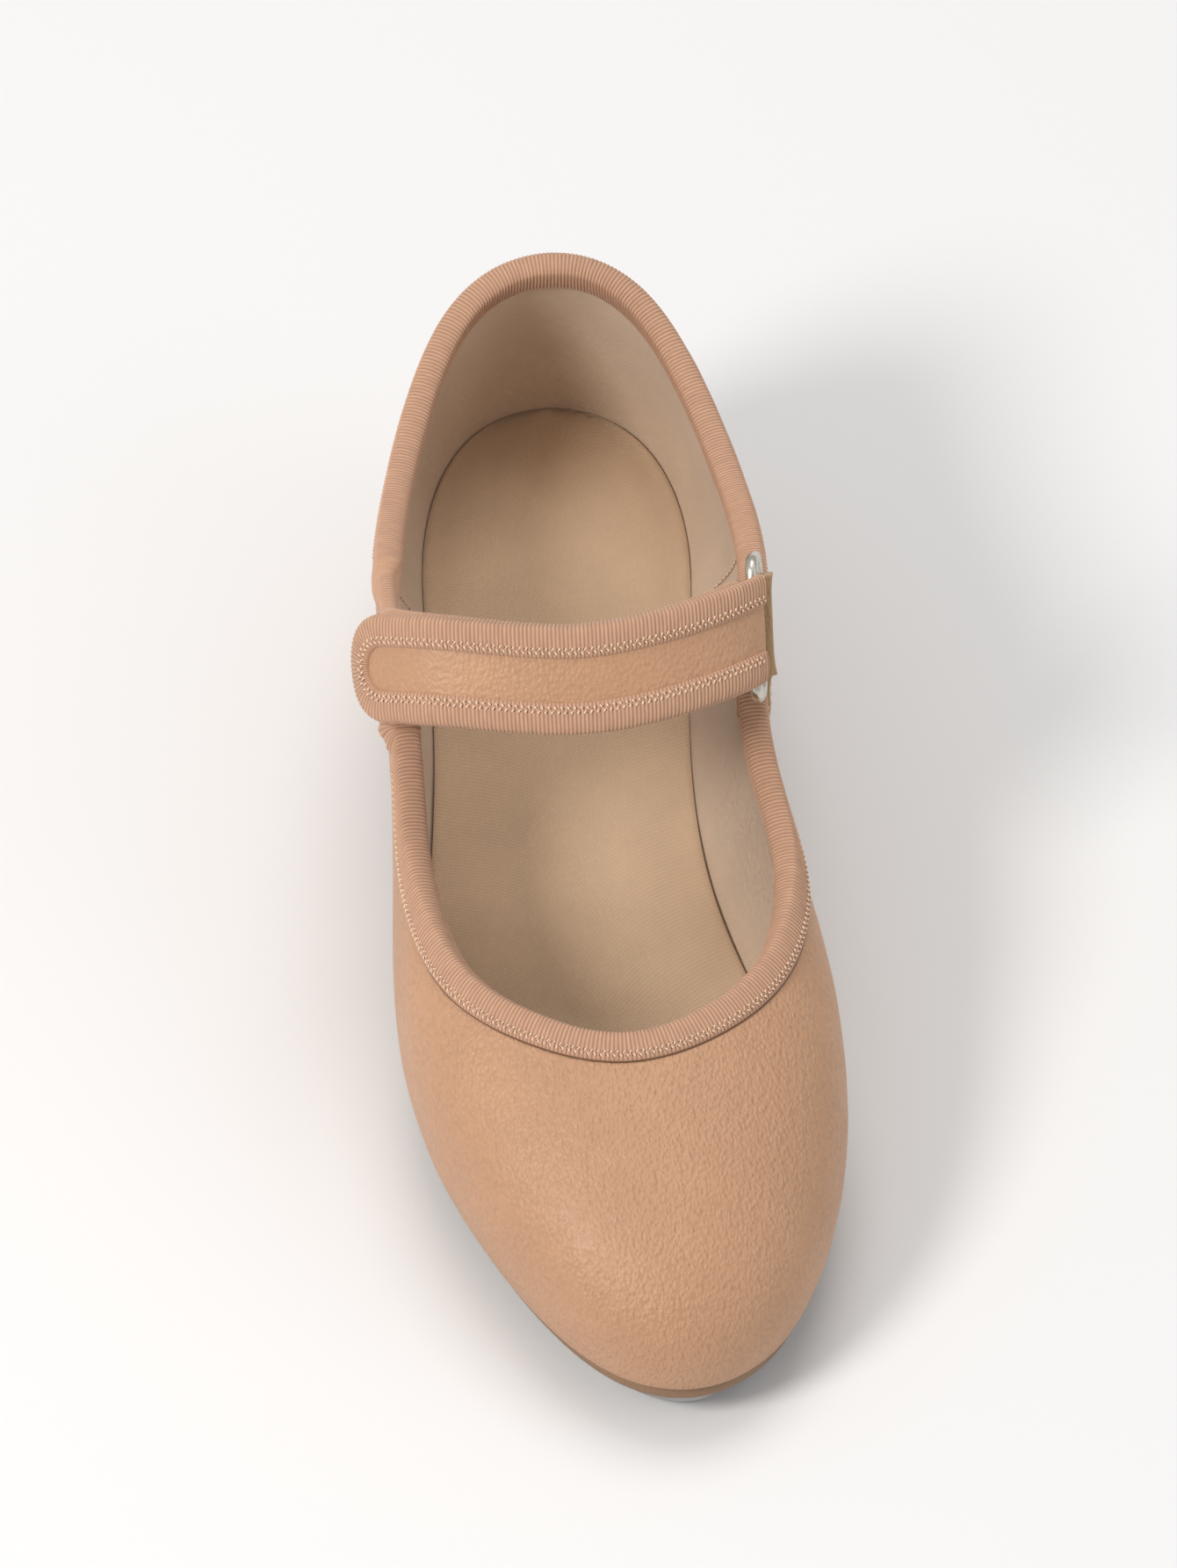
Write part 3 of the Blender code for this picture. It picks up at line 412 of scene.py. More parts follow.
def strap_face(s, r):
    """Outer face of the lower strap: s runs across from its front edge, r from the topline to the ring.

    Up to r = 1 it turns out of the topline, then it follows the arch.
    """
    s, r = np.broadcast_arrays(np.asarray(s, float), np.asarray(r, float))
    u = -(ROOT_FRONT + (ROOT_REAR - ROOT_FRONT) * s) / COUNT
    w = STRAP_HALF_WIDTH * (1 - 2 * s)
    top, along = spline(TOPLINE, u)
    along = unit(along)
    lean = np.stack([np.full(s.shape, 0.2), np.zeros(s.shape), np.ones(s.shape)], -1)
    flare = (1 - 2 * s)[..., None]
    first = top + 3.0 * lean - np.where(flare > 0, 1.5, 6.0) * flare * np.abs(flare) * along
    root_x, root_q = np.moveaxis(arch(np.full(s.shape, LOWER_STRAP_ROOT), LEATHER), -1, 0)
    last = strap_point(root_x, root_q, w)
    third = strap_point(root_x, root_q - 5.0, w)
    t = np.clip(r, 0, 1)[..., None]
    root = (1 - t) ** 3 * top + 3 * (1 - t) ** 2 * t * first + 3 * (1 - t) * t**2 * third + t**3 * last
    angle = LOWER_STRAP_ROOT + (LOWER_STRAP_END - LOWER_STRAP_ROOT) * np.clip(r - 1, 0, 1)
    x, q = np.moveaxis(arch(angle, LEATHER), -1, 0)
    return np.where((r <= 1)[..., None], root, strap_point(x, q, w))


def strap_out(s, r, out):
    """The point out mm outside the lower strap's outer face."""
    s, r = np.broadcast_arrays(np.asarray(s, float), np.asarray(r, float))
    step = 1e-3
    across = strap_face(np.clip(s + step, 0, 1), r) - strap_face(np.clip(s - step, 0, 1), r)
    along = strap_face(s, np.clip(r + step, 0, 2)) - strap_face(s, np.clip(r - step, 0, 2))
    return strap_face(s, r) + unit(np.cross(along, across)) * out


def upper_strap_rise(angle):
    """Height of the upper strap's foot-side face above the arch, in smooth steps between its stations."""
    degrees, rises = zip(*UPPER_STRAP_RISE)
    spread = np.degrees(angle)[..., None] + np.linspace(-8, 8, 9)
    return np.interp(spread, degrees, rises).mean(axis=-1)


STRAP_ANGLES = np.linspace(UPPER_STRAP_TIP, UPPER_STRAP_START, 200)
STRAP_PATH = arch(STRAP_ANGLES, upper_strap_rise(STRAP_ANGLES))
STRAP_RUN = np.concatenate([[0], np.linalg.norm(np.diff(STRAP_PATH, axis=0), axis=1).cumsum()])
STRAP_LENGTH = STRAP_RUN[-1]


def upper_strap_point(distance, w, out):
    """The point distance mm from the upper strap's tip, w mm across, out mm outside its foot-side face."""
    distance = np.asarray(distance, float)
    angle = np.interp(distance, STRAP_RUN, STRAP_ANGLES)
    start = arch(angle, upper_strap_rise(angle) + out)
    slope = unit(STRAP_PATH[3] - STRAP_PATH[0])
    path = start + slope * np.minimum(distance, 0)[..., None]
    return strap_point(path[..., 0], path[..., 1], w)


def ring_frame():
    """Centres (x, q) of the strap bar and the anchor bar, and the directions along and square to the ring."""
    strap_bar = arch(BAR_ANGLE, LEATHER + 2 * GAP + WIRE / 2)
    direction = np.array([0.15, -0.989])
    return strap_bar, strap_bar + direction * BAR_SPACING, direction, np.array([0.989, 0.15])


# ---------------------------------------------------------------- making meshes


def in_frame(point):
    """A point in millimetres as the frame's metres."""
    return Vector((np.asarray(point, float) + CENTRE_SHIFT) * MM)


def run_lengths(points, axis):
    """Distances along one axis of a grid of points, from its start."""
    steps = np.linalg.norm(np.diff(points, axis=axis), axis=-1)
    pad = [(0, 0)] * steps.ndim
    pad[axis] = (1, 0)
    return np.pad(np.cumsum(steps, axis=axis), pad)


def grid_quads(rows, columns, start=0, turn=False):
    """The quads of a grid of points, numbered from start."""
    i, j = np.meshgrid(np.arange(rows - 1), np.arange(columns - 1), indexing="ij")
    corner = (i * columns + j).reshape(-1, 1) + start
    order = [0, 1, columns + 1, columns] if turn else [0, columns, columns + 1, 1]
    return corner + np.array(order)


class Shape:
    """Points, quads and larger faces gathered for one mesh, with UVs in millimetres for the finishes."""

    def __init__(self):
        self.points, self.uvs, self.faces, self.count = [], [], [], 0

    def add(self, points, uvs, faces):
        self.points.append(np.asarray(points, float).reshape(-1, 3))
        self.uvs.append(np.asarray(uvs, float).reshape(-1, 2))
        self.faces.extend((np.asarray(face) + self.count).tolist() for face in faces)
        self.count += len(self.points[-1])
        return self

    def grid(self, points, turn=False, uvs=None):
        rows, columns = points.shape[:2]
        if uvs is None:
            uvs = np.stack([run_lengths(points, 0), run_lengths(points, 1)], -1)
        return self.add(points, uvs, grid_quads(rows, columns, turn=turn))

    def finished(self, name, finish, sharp=40.0, weld=0.0):
        mesh = bpy.data.meshes.new(name)
        points = (np.concatenate(self.points) + CENTRE_SHIFT) * MM
        mesh.from_pydata(points.tolist(), [], self.faces)
        corners = np.empty(len(mesh.loops), np.int32)
        mesh.loops.foreach_get("vertex_index", corners)
        layer = mesh.uv_layers.new(name="UVMap")
        layer.data.foreach_set("uv", np.concatenate(self.uvs)[corners].astype(np.float32).ravel())
        loose = bmesh.new()
        loose.from_mesh(mesh)
        if weld:
            bmesh.ops.remove_doubles(loose, verts=loose.verts, dist=weld * MM)
        bmesh.ops.recalc_face_normals(loose, faces=loose.faces)
        loose.to_mesh(mesh)
        loose.free()
        mesh.materials.append(finish)
        mesh.shade_smooth()
        mesh.set_sharp_from_angle(angle=math.radians(sharp))
        obj = bpy.data.objects.new(name, mesh)
        bpy.context.scene.collection.objects.link(obj)
        return obj


def shell(name, outer, inner, finish, closed=False, rim=0.3):
    """A closed skin between two grids of points of the same size, with its rims rounded."""
    shape = Shape()
    if closed:
        outer, inner = (np.concatenate([g, g[:1]]) for g in (outer, inner))
    shape.grid(outer)
    shape.grid(inner, turn=True)
    shape.grid(np.stack([outer[:, 0], inner[:, 0]], 1), turn=True)
    shape.grid(np.stack([outer[:, -1], inner[:, -1]], 1))
    if not closed:
        shape.grid(np.stack([outer[0], inner[0]], 0), turn=True)
        shape.grid(np.stack([outer[-1], inner[-1]], 0))
    obj = shape.finished(name, finish, weld=0.01)
    if rim:
        round_rims(obj, rim)
    return obj


def round_rims(obj, width, segments=3, limit=55):
    """A bevel modifier that rounds the shell's sharp edges."""
    modifier = obj.modifiers.new("rims", "BEVEL")
    modifier.width = width * MM
    modifier.segments = segments
    modifier.limit_method = "ANGLE"
    modifier.angle_limit = math.radians(limit)
    modifier.harden_normals = False
    return obj


def sweep(name, sections, finish, closed=False, sharp=60.0, along=None):
    """A solid through a row of like sections, each a loop of points. Open rows get end caps."""
    looped = np.concatenate([sections, sections[:, :1]], 1)
    if closed:
        looped = np.concatenate([looped, looped[:1]])
    uvs = None
    if along is not None:
        uvs = np.stack([np.repeat(along[:, None], looped.shape[1], 1), run_lengths(looped, 1)], -1)
    shape = Shape()
    shape.grid(looped, uvs=uvs)
    if not closed:
        for end in (0, -1):
            size = sections.shape[1]
            shape.add(sections[end], np.zeros((size, 2)), [np.arange(size)])
    return shape.finished(name, finish, sharp, weld=0.005)


def resampled(grid, step):
    """Rows of points spread evenly, step mm apart, along the grid's first axis."""
    run = run_lengths(grid.mean(axis=1, keepdims=True), 0)[:, 0]
    count = max(3, int(round(run[-1] / step)) + 1)
    at = np.linspace(0, run[-1], count)
    i = np.clip(np.searchsorted(run, at, side="right") - 1, 0, len(run) - 2)
    t = ((at - run[i]) / (run[i + 1] - run[i]))[:, None, None]
    return grid[i] * (1 - t) + grid[i + 1] * t, at


def smoothed(grid, passes):
    """The rows eased towards their neighbours, with both ends kept."""
    grid = grid.copy()
    for _ in range(passes):
        grid[1:-1] = 0.5 * grid[1:-1] + 0.25 * (grid[:-2] + grid[2:])
    return grid


def soft_noise(points, size, seed):
    """Smooth noise from -1 to 1 at each point, with features about size mm across."""
    flat = np.asarray(points, float).reshape(-1, 3) / size + seed * 17.3
    values = np.array([noise.noise(Vector(p)) for p in flat])
    return values.reshape(np.shape(points)[:-1])


def baked(obj):
    """The object with its modifiers applied."""
    graph = bpy.context.evaluated_depsgraph_get()
    mesh = bpy.data.meshes.new_from_object(obj.evaluated_get(graph))
    obj.modifiers.clear()
    obj.data = mesh
    return obj


def cut_away(obj, cutters):
    """Cuts the closed cutters out of the object and removes them."""
    for cutter in cutters:
        modifier = obj.modifiers.new("cut", "BOOLEAN")
        modifier.object = cutter
        modifier.operation = "DIFFERENCE"
    baked(obj)
    for cutter in cutters:
        bpy.data.objects.remove(cutter)
    return obj


# ---------------------------------------------------------------- finishes


class Finish:
    """A material being built: its shader, and shorthands for the nodes that drive it."""

    def __init__(self, name, roughness, **sockets):
        self.material = bpy.data.materials.new(name)
        self.material.use_nodes = True
        self.tree = self.material.node_tree
        self.shader = self.tree.nodes["Principled BSDF"]
        self.shader.inputs["Roughness"].default_value = roughness
        for socket, value in sockets.items():
            self.shader.inputs[socket.replace("_", " ")].default_value = value
        self.normal = None

    def node(self, kind, inputs=(), **settings):
        made = self.tree.nodes.new("ShaderNode" + kind)
        for key, value in settings.items():
            setattr(made, key, value)
        for key, value in dict(inputs).items():
            if isinstance(value, bpy.types.NodeSocket):
                self.tree.links.new(value, made.inputs[key])
            else:
                made.inputs[key].default_value = value
        return made

    def uv(self, scale=(1, 1, 1)):
        """UV coordinates in millimetres, scaled."""
        coordinates = self.node("TexCoord").outputs["UV"]
        return self.node("Mapping", {"Vector": coordinates, "Scale": scale}).outputs[0]

    def place(self, x=1.0, y=1.0, z=1.0):
        """Object coordinates in millimetres, scaled."""
        coordinates = self.node("TexCoord").outputs["Object"]
        per_mm = (x * 1000, y * 1000, z * 1000)
        return self.node("Mapping", {"Vector": coordinates, "Scale": per_mm}).outputs[0]

    def noise(self, vector, scale=1.0, detail=3.0, roughness=0.55, distortion=0.0):
        made = self.node(
            "TexNoise",
            {
                "Vector": vector,
                "Scale": scale,
                "Detail": detail,
                "Roughness": roughness,
                "Distortion": distortion,
            },
        )
        return made.outputs["Fac"]

    def math(self, operation, a, b=0.0, clamp=False):
        return self.node("Math", {0: a, 1: b}, operation=operation, use_clamp=clamp).outputs[0]

    def ramp(self, factor, low, high, out_low=0.0, out_high=1.0):
        inputs = {"Value": factor, "From Min": low, "From Max": high, "To Min": out_low, "To Max": out_high}
        return self.node("MapRange", inputs).outputs[0]

    def mix(self, factor, a, b, blend="MIX"):
        made = self.node("Mix", data_type="RGBA", blend_type=blend)
        for index, value in ((0, factor), (6, a), (7, b)):
            if isinstance(value, bpy.types.NodeSocket):
                self.tree.links.new(value, made.inputs[index])
            else:
                made.inputs[index].default_value = (*value, 1.0) if isinstance(value, tuple) else value
        return made.outputs[2]

    def bump(self, height, distance, strength=1.0):
        """Stacks a bump, distance being its height in millimetres."""
        inputs = {"Height": height, "Distance": distance * MM, "Strength": strength}
        if self.normal:
            inputs["Normal"] = self.normal
        self.normal = self.node("Bump", inputs).outputs[0]

    def done(self, colour=None, roughness=None):
        if isinstance(colour, tuple):
            self.shader.inputs["Base Color"].default_value = (*colour, 1.0)
        elif colour is not None:
            self.tree.links.new(colour, self.shader.inputs["Base Color"])
        if roughness is not None:
            self.tree.links.new(roughness, self.shader.inputs["Roughness"])
        if self.normal:
            self.tree.links.new(self.normal, self.shader.inputs["Normal"])
        return self.material


def shade(colour, factor):
    """The colour made darker or lighter."""
    return tuple(min(1.0, c * factor) for c in colour)


def leather_finish(name, colour, grain=1.0, stretch=(1.6, 0.8, 0.9)):
    """Smooth-grained leather: fine wrinkles drawn out along the foot, pebbles between, soft mottling, with painted
    shade in the wrinkles and between the pebbles and painted highlights on the pebbles' tops.
    """
    finish = Finish(name, 0.46, Specular_IOR_Level=0.45, Coat_Weight=0.04, Coat_Roughness=0.3)
    wrinkles = finish.noise(finish.place(*stretch), 1.0, 2.0, 0.55, 0.4)
    pebbles = finish.node(
        "TexVoronoi",
        {"Vector": finish.place(1.6, 1.1, 1.15), "Scale": 1.0, "Randomness": 1.0},
        feature="SMOOTH_F1",
    ).outputs["Distance"]
    pores = finish.noise(finish.place(), 5.0, 2.0, 0.5)
    mottle = finish.noise(finish.place(), 0.035, 4.0, 0.6)
    tone = finish.mix(finish.ramp(mottle, 0.35, 0.65), shade(colour, 0.94), shade(colour, 1.05))
    # Painted shade: darker in the furrows of the wrinkles.
    wrinkle_shade = finish.mix(finish.ramp(wrinkles, 0.32, 0.50, 0.2 * grain, 0.0), tone, shade(colour, 0.7))
    # Painted shade: darker in the hollows between the pebbles.
    pebble_hollow_shade = finish.mix(finish.ramp(pebbles, 0.4, 0.75, 0.0, 0.26 * grain), wrinkle_shade, shade(colour, 0.7))
    # Painted highlight: lighter on the tops of the pebbles.
    pebble_top_highlight = finish.mix(finish.ramp(pebbles, 0.08, 0.32, 0.26 * grain, 0.0), pebble_hollow_shade, shade(colour, 1.3))
    finish.bump(wrinkles, 0.2 * grain)
    finish.bump(finish.math("MULTIPLY", pebbles, -1.0), 0.3 * grain)
    finish.bump(pores, 0.03)
    shine = finish.ramp(finish.noise(finish.place(), 0.12, 3.0), 0.3, 0.7, 0.38, 0.48)
    return finish.done(pebble_top_highlight, shine)


def grosgrain_finish(name, colour):
    """Ribbed tape: the ribs are in the mesh, so the finish paints shade between them and adds the yarns."""
    finish = Finish(name, 0.72, Specular_IOR_Level=0.3, Sheen_Weight=0.25, Sheen_Roughness=0.45)
    parts = finish.node("SeparateXYZ", {0: finish.uv()}).outputs
    phase = finish.math("MULTIPLY", parts[0], 2 * math.pi / RIB_PITCH)
    rib = finish.math("COSINE", phase)
    uneven = finish.noise(finish.uv((1.4, 0.25, 1)), 1.0, 2.0)
    tone = finish.mix(finish.ramp(uneven, 0.35, 0.65), shade(colour, 0.93), shade(colour, 1.08))
    # Painted shade: darker in the low parts between the ribs.
    dark = finish.mix(finish.ramp(rib, -1.0, 0.5, 0.68, 0.0), tone, shade(colour, 0.45))
    yarn = finish.noise(finish.uv((2.0, 7.0, 1)), 1.0, 2.0)
    finish.bump(yarn, 0.05)
    return finish.done(dark)


def cloth_finish(name, colour, pitch=0.55, fuzz=0.05):
    """Plain-woven cotton: two sets of yarns crossing, with slubs, a little nap and painted shade between the yarns."""
    finish = Finish(name, 0.9, Specular_IOR_Level=0.2, Sheen_Weight=0.3, Sheen_Roughness=0.5)
    parts = finish.node("SeparateXYZ", {0: finish.uv()}).outputs
    warp = finish.math("SINE", finish.math("MULTIPLY", parts[0], 2 * math.pi / pitch))
    weft = finish.math("SINE", finish.math("MULTIPLY", parts[1], 2 * math.pi / pitch))
    weave = finish.math("MULTIPLY", warp, weft)
    slub = finish.noise(finish.uv((0.25, 2.2, 1)), 1.0, 3.0)
    patchy = finish.noise(finish.place(), 0.05, 4.0)
    tone = finish.mix(finish.ramp(patchy, 0.3, 0.7), shade(colour, 0.93), shade(colour, 1.05))
    # Painted shade: darker where the weave's bump is low, between the yarns.
    tone = finish.mix(finish.ramp(weave, -1, 1, 0.28, 0.0), tone, shade(colour, 0.6))
    tone = finish.mix(finish.ramp(slub, 0.5, 0.75, 0.0, 0.3), tone, shade(colour, 1.12))
    finish.bump(weave, 0.05)
    finish.bump(finish.noise(finish.uv(), 4.0, 3.0), fuzz)
    return finish.done(tone)


def suede_finish(name, colour, scuff):
    """Buffed split leather: cloudy in tone, paler where it is scuffed, and darker in the hollows of its nap as painted
    shade.
    """
    finish = Finish(name, 0.9, Specular_IOR_Level=0.2, Sheen_Weight=0.35, Sheen_Roughness=0.5)
    nap = finish.noise(finish.place(), 2.4, 4.0, 0.7)
    clouds = finish.noise(finish.place(), 0.06, 5.0, 0.65, 0.6)
    tone = finish.mix(finish.ramp(clouds, 0.35, 0.65), shade(colour, 0.75), shade(colour, 1.2))
    streaks = finish.noise(finish.place(0.3, 0.3, 0.3), 1.0, 5.0, 0.7)
    tone = finish.mix(finish.ramp(streaks, 0.55, 0.72, 0.0, scuff), tone, shade(colour, 2.2))
    # Painted shade: darker in the hollows of the nap, where its bump is low.
    tone = finish.mix(finish.ramp(nap, 0.4, 0.6, 0.25, 0.0), tone, shade(colour, 0.5))
    finish.bump(nap, 0.12)
    return finish.done(tone)


def metal_finish(name, colour, roughness, brushed=0.0):
    """Metal with brush lines, a few scratches and cloudy handling marks."""
    finish = Finish(name, roughness, Metallic=1.0, Anisotropic=0.35 if brushed else 0.0)
    lines = finish.noise(finish.uv((0.06, 9.0, 1)), 1.0, 3.0)
    drawn = finish.uv((0.08, 0.9, 1))
    scratch = finish.node("TexVoronoi", {"Vector": drawn, "Scale": 0.6}, feature="DISTANCE_TO_EDGE")
    marks = finish.ramp(scratch.outputs["Distance"], 0.0, 0.012, 1.0, 0.0)
    cloud = finish.noise(finish.place(), 0.15, 4.0)
    tone = finish.mix(finish.ramp(cloud, 0.3, 0.7), shade(colour, 0.88), shade(colour, 1.04))
    finish.bump(lines, 0.02 * brushed + 0.002)
    finish.bump(marks, -0.02)
    clouded = finish.ramp(cloud, 0.3, 0.7, roughness * 0.8, roughness * 1.25)
    rough = finish.math("ADD", clouded, finish.math("MULTIPLY", marks, 0.15))
    return finish.done(tone, rough)


def board_finish(name, colour, roughness, flecks=0.3):
    """Pressed board, rubber or cork: flecked, with a fine pitted face."""
    finish = Finish(name, roughness, Specular_IOR_Level=0.3)
    fleck = finish.noise(finish.place(), 1.3, 4.0, 0.7)
    broad = finish.noise(finish.place(), 0.1, 3.0)
    tone = finish.mix(finish.ramp(broad, 0.3, 0.7), shade(colour, 0.85), shade(colour, 1.15))
    tone = finish.mix(finish.ramp(fleck, 0.52, 0.68, 0.0, flecks), tone, shade(colour, 1.9))
    finish.bump(fleck, 0.08)
    return finish.done(tone)


def thread_finish(name, colour):
    """Glossy twisted thread."""
    finish = Finish(name, 0.5, Specular_IOR_Level=0.5, Sheen_Weight=0.2)
    twist = finish.noise(finish.place(), 3.0, 1.0)
    tone = finish.mix(finish.ramp(twist, 0.35, 0.65), shade(colour, 0.85), shade(colour, 1.1))
    finish.bump(twist, 0.06)
    return finish.done(tone)


def all_finishes():
    """Every material, by name."""
    tan = (0.53, 0.295, 0.168)
    return {
        "leather": leather_finish("caramel_leather", tan),
        "strap": leather_finish("strap_leather", tan, 0.7, (0.45, 1.2, 1.2)),
        "heel_cover": leather_finish("heel_cover_leather", shade(tan, 0.94), 0.8),
        # A darker, more olive copy of the tan leather: painted shade on the strap's fold round the ring and on the
        # ring's tab.
        "fold": leather_finish("strap_fold_leather", (0.45, 0.30, 0.165), 0.5),
        # A darker copy of the tan leather: partly the sole edge's own darker tan, partly painted shade under the
        # upper's overhang.
        "edge": leather_finish("edge_leather", (0.27, 0.155, 0.085), 0.5),
        "grosgrain": grosgrain_finish("grosgrain", (0.60, 0.35, 0.225)),
        "lining": cloth_finish("cotton_lining", (0.70, 0.53, 0.38)),
        "sock": cloth_finish("sock_cloth", (0.66, 0.47, 0.31), 0.8, 0.09),
        "suede": suede_finish("sole_suede", (0.20, 0.11, 0.06), 0.25),
        "fuzz": suede_finish("loop_fuzz", (0.62, 0.44, 0.30), 0.1),
        "aluminium": metal_finish("aluminium", (0.50, 0.50, 0.50), 0.36, 1.0),
        "nickel": metal_finish("nickel", (0.66, 0.62, 0.55), 0.3),
        "steel": metal_finish("steel", (0.58, 0.58, 0.59), 0.32, 0.4),
        "rubber": board_finish("rubber", (0.035, 0.032, 0.03), 0.65, 0.1),
        "fibre": board_finish("fibre_board", (0.035, 0.026, 0.02), 0.7, 0.15),
        "board": board_finish("insole_board", (0.50, 0.37, 0.24), 0.85),
        "cork": board_finish("cork", (0.42, 0.26, 0.14), 0.85, 0.6),
        "thread": thread_finish("thread", (0.84, 0.60, 0.43)),
        # Dark brown: painted shade in the needle holes.
        "hole": board_finish("needle_hole_shade", (0.10, 0.045, 0.02), 0.95, 0.0),
        # Dark brown: the real base of the fastening patches, and also the strip of painted shadow along the binding's
        # edge.
        "patch_base_and_shadow_strip": board_finish("patch_base_and_shadow_strip", (0.16, 0.085, 0.045), 0.8, 0.1),
    }


# ---------------------------------------------------------------- tape folded over an edge


def tape_section(leg, thickness):
    """(inwards, height) round a folded tape: outer leg, the roll over the edge, inner leg, and back."""
    top, bottom = 0.9, -thickness - 0.9
    crown = [(1.0, 0.40), (0.955, 0.74), (0.88, 0.93), (0.72, 1.06), (0.52, 1.14), (0.32, 1.14), (0.14, 1.05)]
    outer = [(leg * share, height) for share, height in crown]
    half = (top - bottom) / 2
    roll = [
        (0.15 - 1.05 * math.cos(a), (top + bottom) / 2 + half * math.sin(a))
        for a in np.radians(np.linspace(78, -78, 9))
    ]
    inner = [(leg * share, bottom + 0.9 - height) for share, height in crown[::-1]]
    back = [(leg, -thickness - 0.02), (leg / 2, -thickness - 0.02), (-0.1, -thickness - 0.02)]
    front = [(-0.1, 0.02), (leg / 2, 0.02), (leg, 0.02)]
    return outer + roll + inner + back + front


RIBBED = 23  # points of tape_section that face out


def topline_rows(stations, section):
    """The section's points along the topline, at the given stations."""
    u = np.asarray(stations, float) / COUNT
    length = wall_length(u)[:, None]
    up = unit(wall_normal(u, np.ones((len(u), 1)))[1][:, 0])
    points = [wall(u, 1 - max(e, 0) / length, h)[:, 0] - up * min(e, 0) for e, h in section(UPPER_THICKNESS)]
    return np.stack(points, 1)


def strap_rows(rows, rear, section):
    """The section's points along one edge of the lower strap."""
    r = np.asarray(rows, float)
    edge = np.full_like(r, 1.0 if rear else 0.0)
    across = strap_face(1 - edge, r) - strap_face(edge, r)
    along = unit(strap_face(edge, np.minimum(r + 1e-3, 2)) - strap_face(edge, r - 1e-3))
    inward = across - (across * along).sum(axis=1, keepdims=True) * along
    width = np.linalg.norm(inward, axis=1)
    inward /= width[:, None]
    points = []
    for e, h in section(LEATHER):
        share = max(e, 0) / width
        points.append(strap_out(1 - share if rear else share, r, h) + inward * min(e, 0))
    return np.stack(points, 1)


def joined(first, second, fan):
    """Two runs of sections joined by a fan of sections that turns from one to the other."""
    share = np.linspace(0, 1, fan + 2)[1:-1, None, None]
    ease = share * share * (3 - 2 * share)
    a, b = first[-1], second[0]
    centre_a, centre_b = a[11:13].mean(axis=0), b[11:13].mean(axis=0)
    arms_a, arms_b = a - centre_a, b - centre_b
    size_a, size_b = (np.linalg.norm(arms, axis=1, keepdims=True) for arms in (arms_a, arms_b))
    arms = unit(unit(arms_a) * (1 - ease) + unit(arms_b) * ease) * (size_a * (1 - ease) + size_b * ease)
    centre = centre_a * (1 - ease) + centre_b * ease
    return np.concatenate([first, centre + arms, second])


def upper_strap_rows(section, straight=30, turn=21):
    """The section's points round the upper strap: along its rear edge, round the tip and back."""
    run = np.linspace(STRAP_LENGTH - 0.3, STRAP_HALF_WIDTH, straight)[:-1]
    angle = np.linspace(-math.pi / 2, math.pi / 2, turn)
    points = []
    for e, h in section(LEATHER):
        half = STRAP_HALF_WIDTH - e
        distance = np.concatenate([run, STRAP_HALF_WIDTH - half * np.cos(angle), run[::-1]])
        w = np.concatenate([np.full(straight - 1, -half), half * np.sin(angle), np.full(straight - 1, half)])
        points.append(upper_strap_point(distance, w, h + LEATHER))
    return np.stack(points, 1)


def ribbed_tape(name, coarse, finish, bunch=None):
    """The tape through coarse sections, with its ribs raised along it."""
    fine, at = resampled(coarse, RIB_PITCH / 4)
    around = np.roll(fine, -1, axis=1) - np.roll(fine, 1, axis=1)
    along = np.gradient(fine, axis=0)
    outward = unit(np.cross(along, around))
    centre = fine[:, :RIBBED].mean(axis=1, keepdims=True)
    if ((fine[:, :7] - centre) * outward[:, :7]).sum() < 0:
        outward = -outward
    height = RIB_HEIGHT * (np.cos(at * 2 * math.pi / RIB_PITCH) - 0.2)
    lump = soft_noise(fine[::8, 10], 7.0, 3)
    height = height + 0.09 * np.interp(at, at[::8], lump)
    if bunch is not None:
        near = np.exp(-((at - bunch) / 3.2) ** 2)
        height = height + near * (0.28 * np.cos(at * 2 * math.pi / 2.3) + 0.12)
    fine[:, 1:RIBBED] += outward[:, 1:RIBBED] * height[:, None, None]
    return sweep(name, fine, finish, along=at)


# ---------------------------------------------------------------- thread


def capsules(starts, ends, normals, radius, lift, sides=6, steps=6):
    """Short threads, each bowed out of the surface between its two holes. Arrays of points and quads."""
    t = np.linspace(0, 1, steps)
    bow = np.sin(math.pi * t) ** 0.6 * lift - 0.12
    centre = starts[:, None] * (1 - t[:, None]) + ends[:, None] * t[:, None] + normals[:, None] * bow[:, None]
    tangent = unit(ends - starts)[:, None]
    side = unit(np.cross(tangent, normals[:, None]))
    up = normals[:, None] * np.ones((1, steps, 1))
    thick = radius * (0.35 + 0.65 * np.sin(math.pi * t) ** 0.5)[None, :, None, None]
    angle = np.linspace(0, 2 * math.pi, sides + 1)
    ring = side[:, :, None] * np.cos(angle)[:, None] + up[:, :, None] * np.sin(angle)[:, None]
    return centre[:, :, None] + ring * thick


def threads(name, starts, ends, normals, finish, radius=THREAD, lift=0.16):
    """Stitches as short closed pieces of thread between the starts and ends."""
    rings = capsules(starts, ends, unit(normals), radius, lift)
    shape = Shape()
    steps, columns = rings.shape[1:3]
    quads = grid_quads(steps, columns)
    sides = np.arange(columns - 1)
    for stitch in rings:
        shape.add(stitch, np.zeros((steps * columns, 2)), quads)
        shape.add(stitch[0, sides], np.zeros((columns - 1, 2)), [sides])
        shape.add(stitch[-1, sides], np.zeros((columns - 1, 2)), [sides])
    return shape.finished(name, finish, 70.0, weld=0.002)


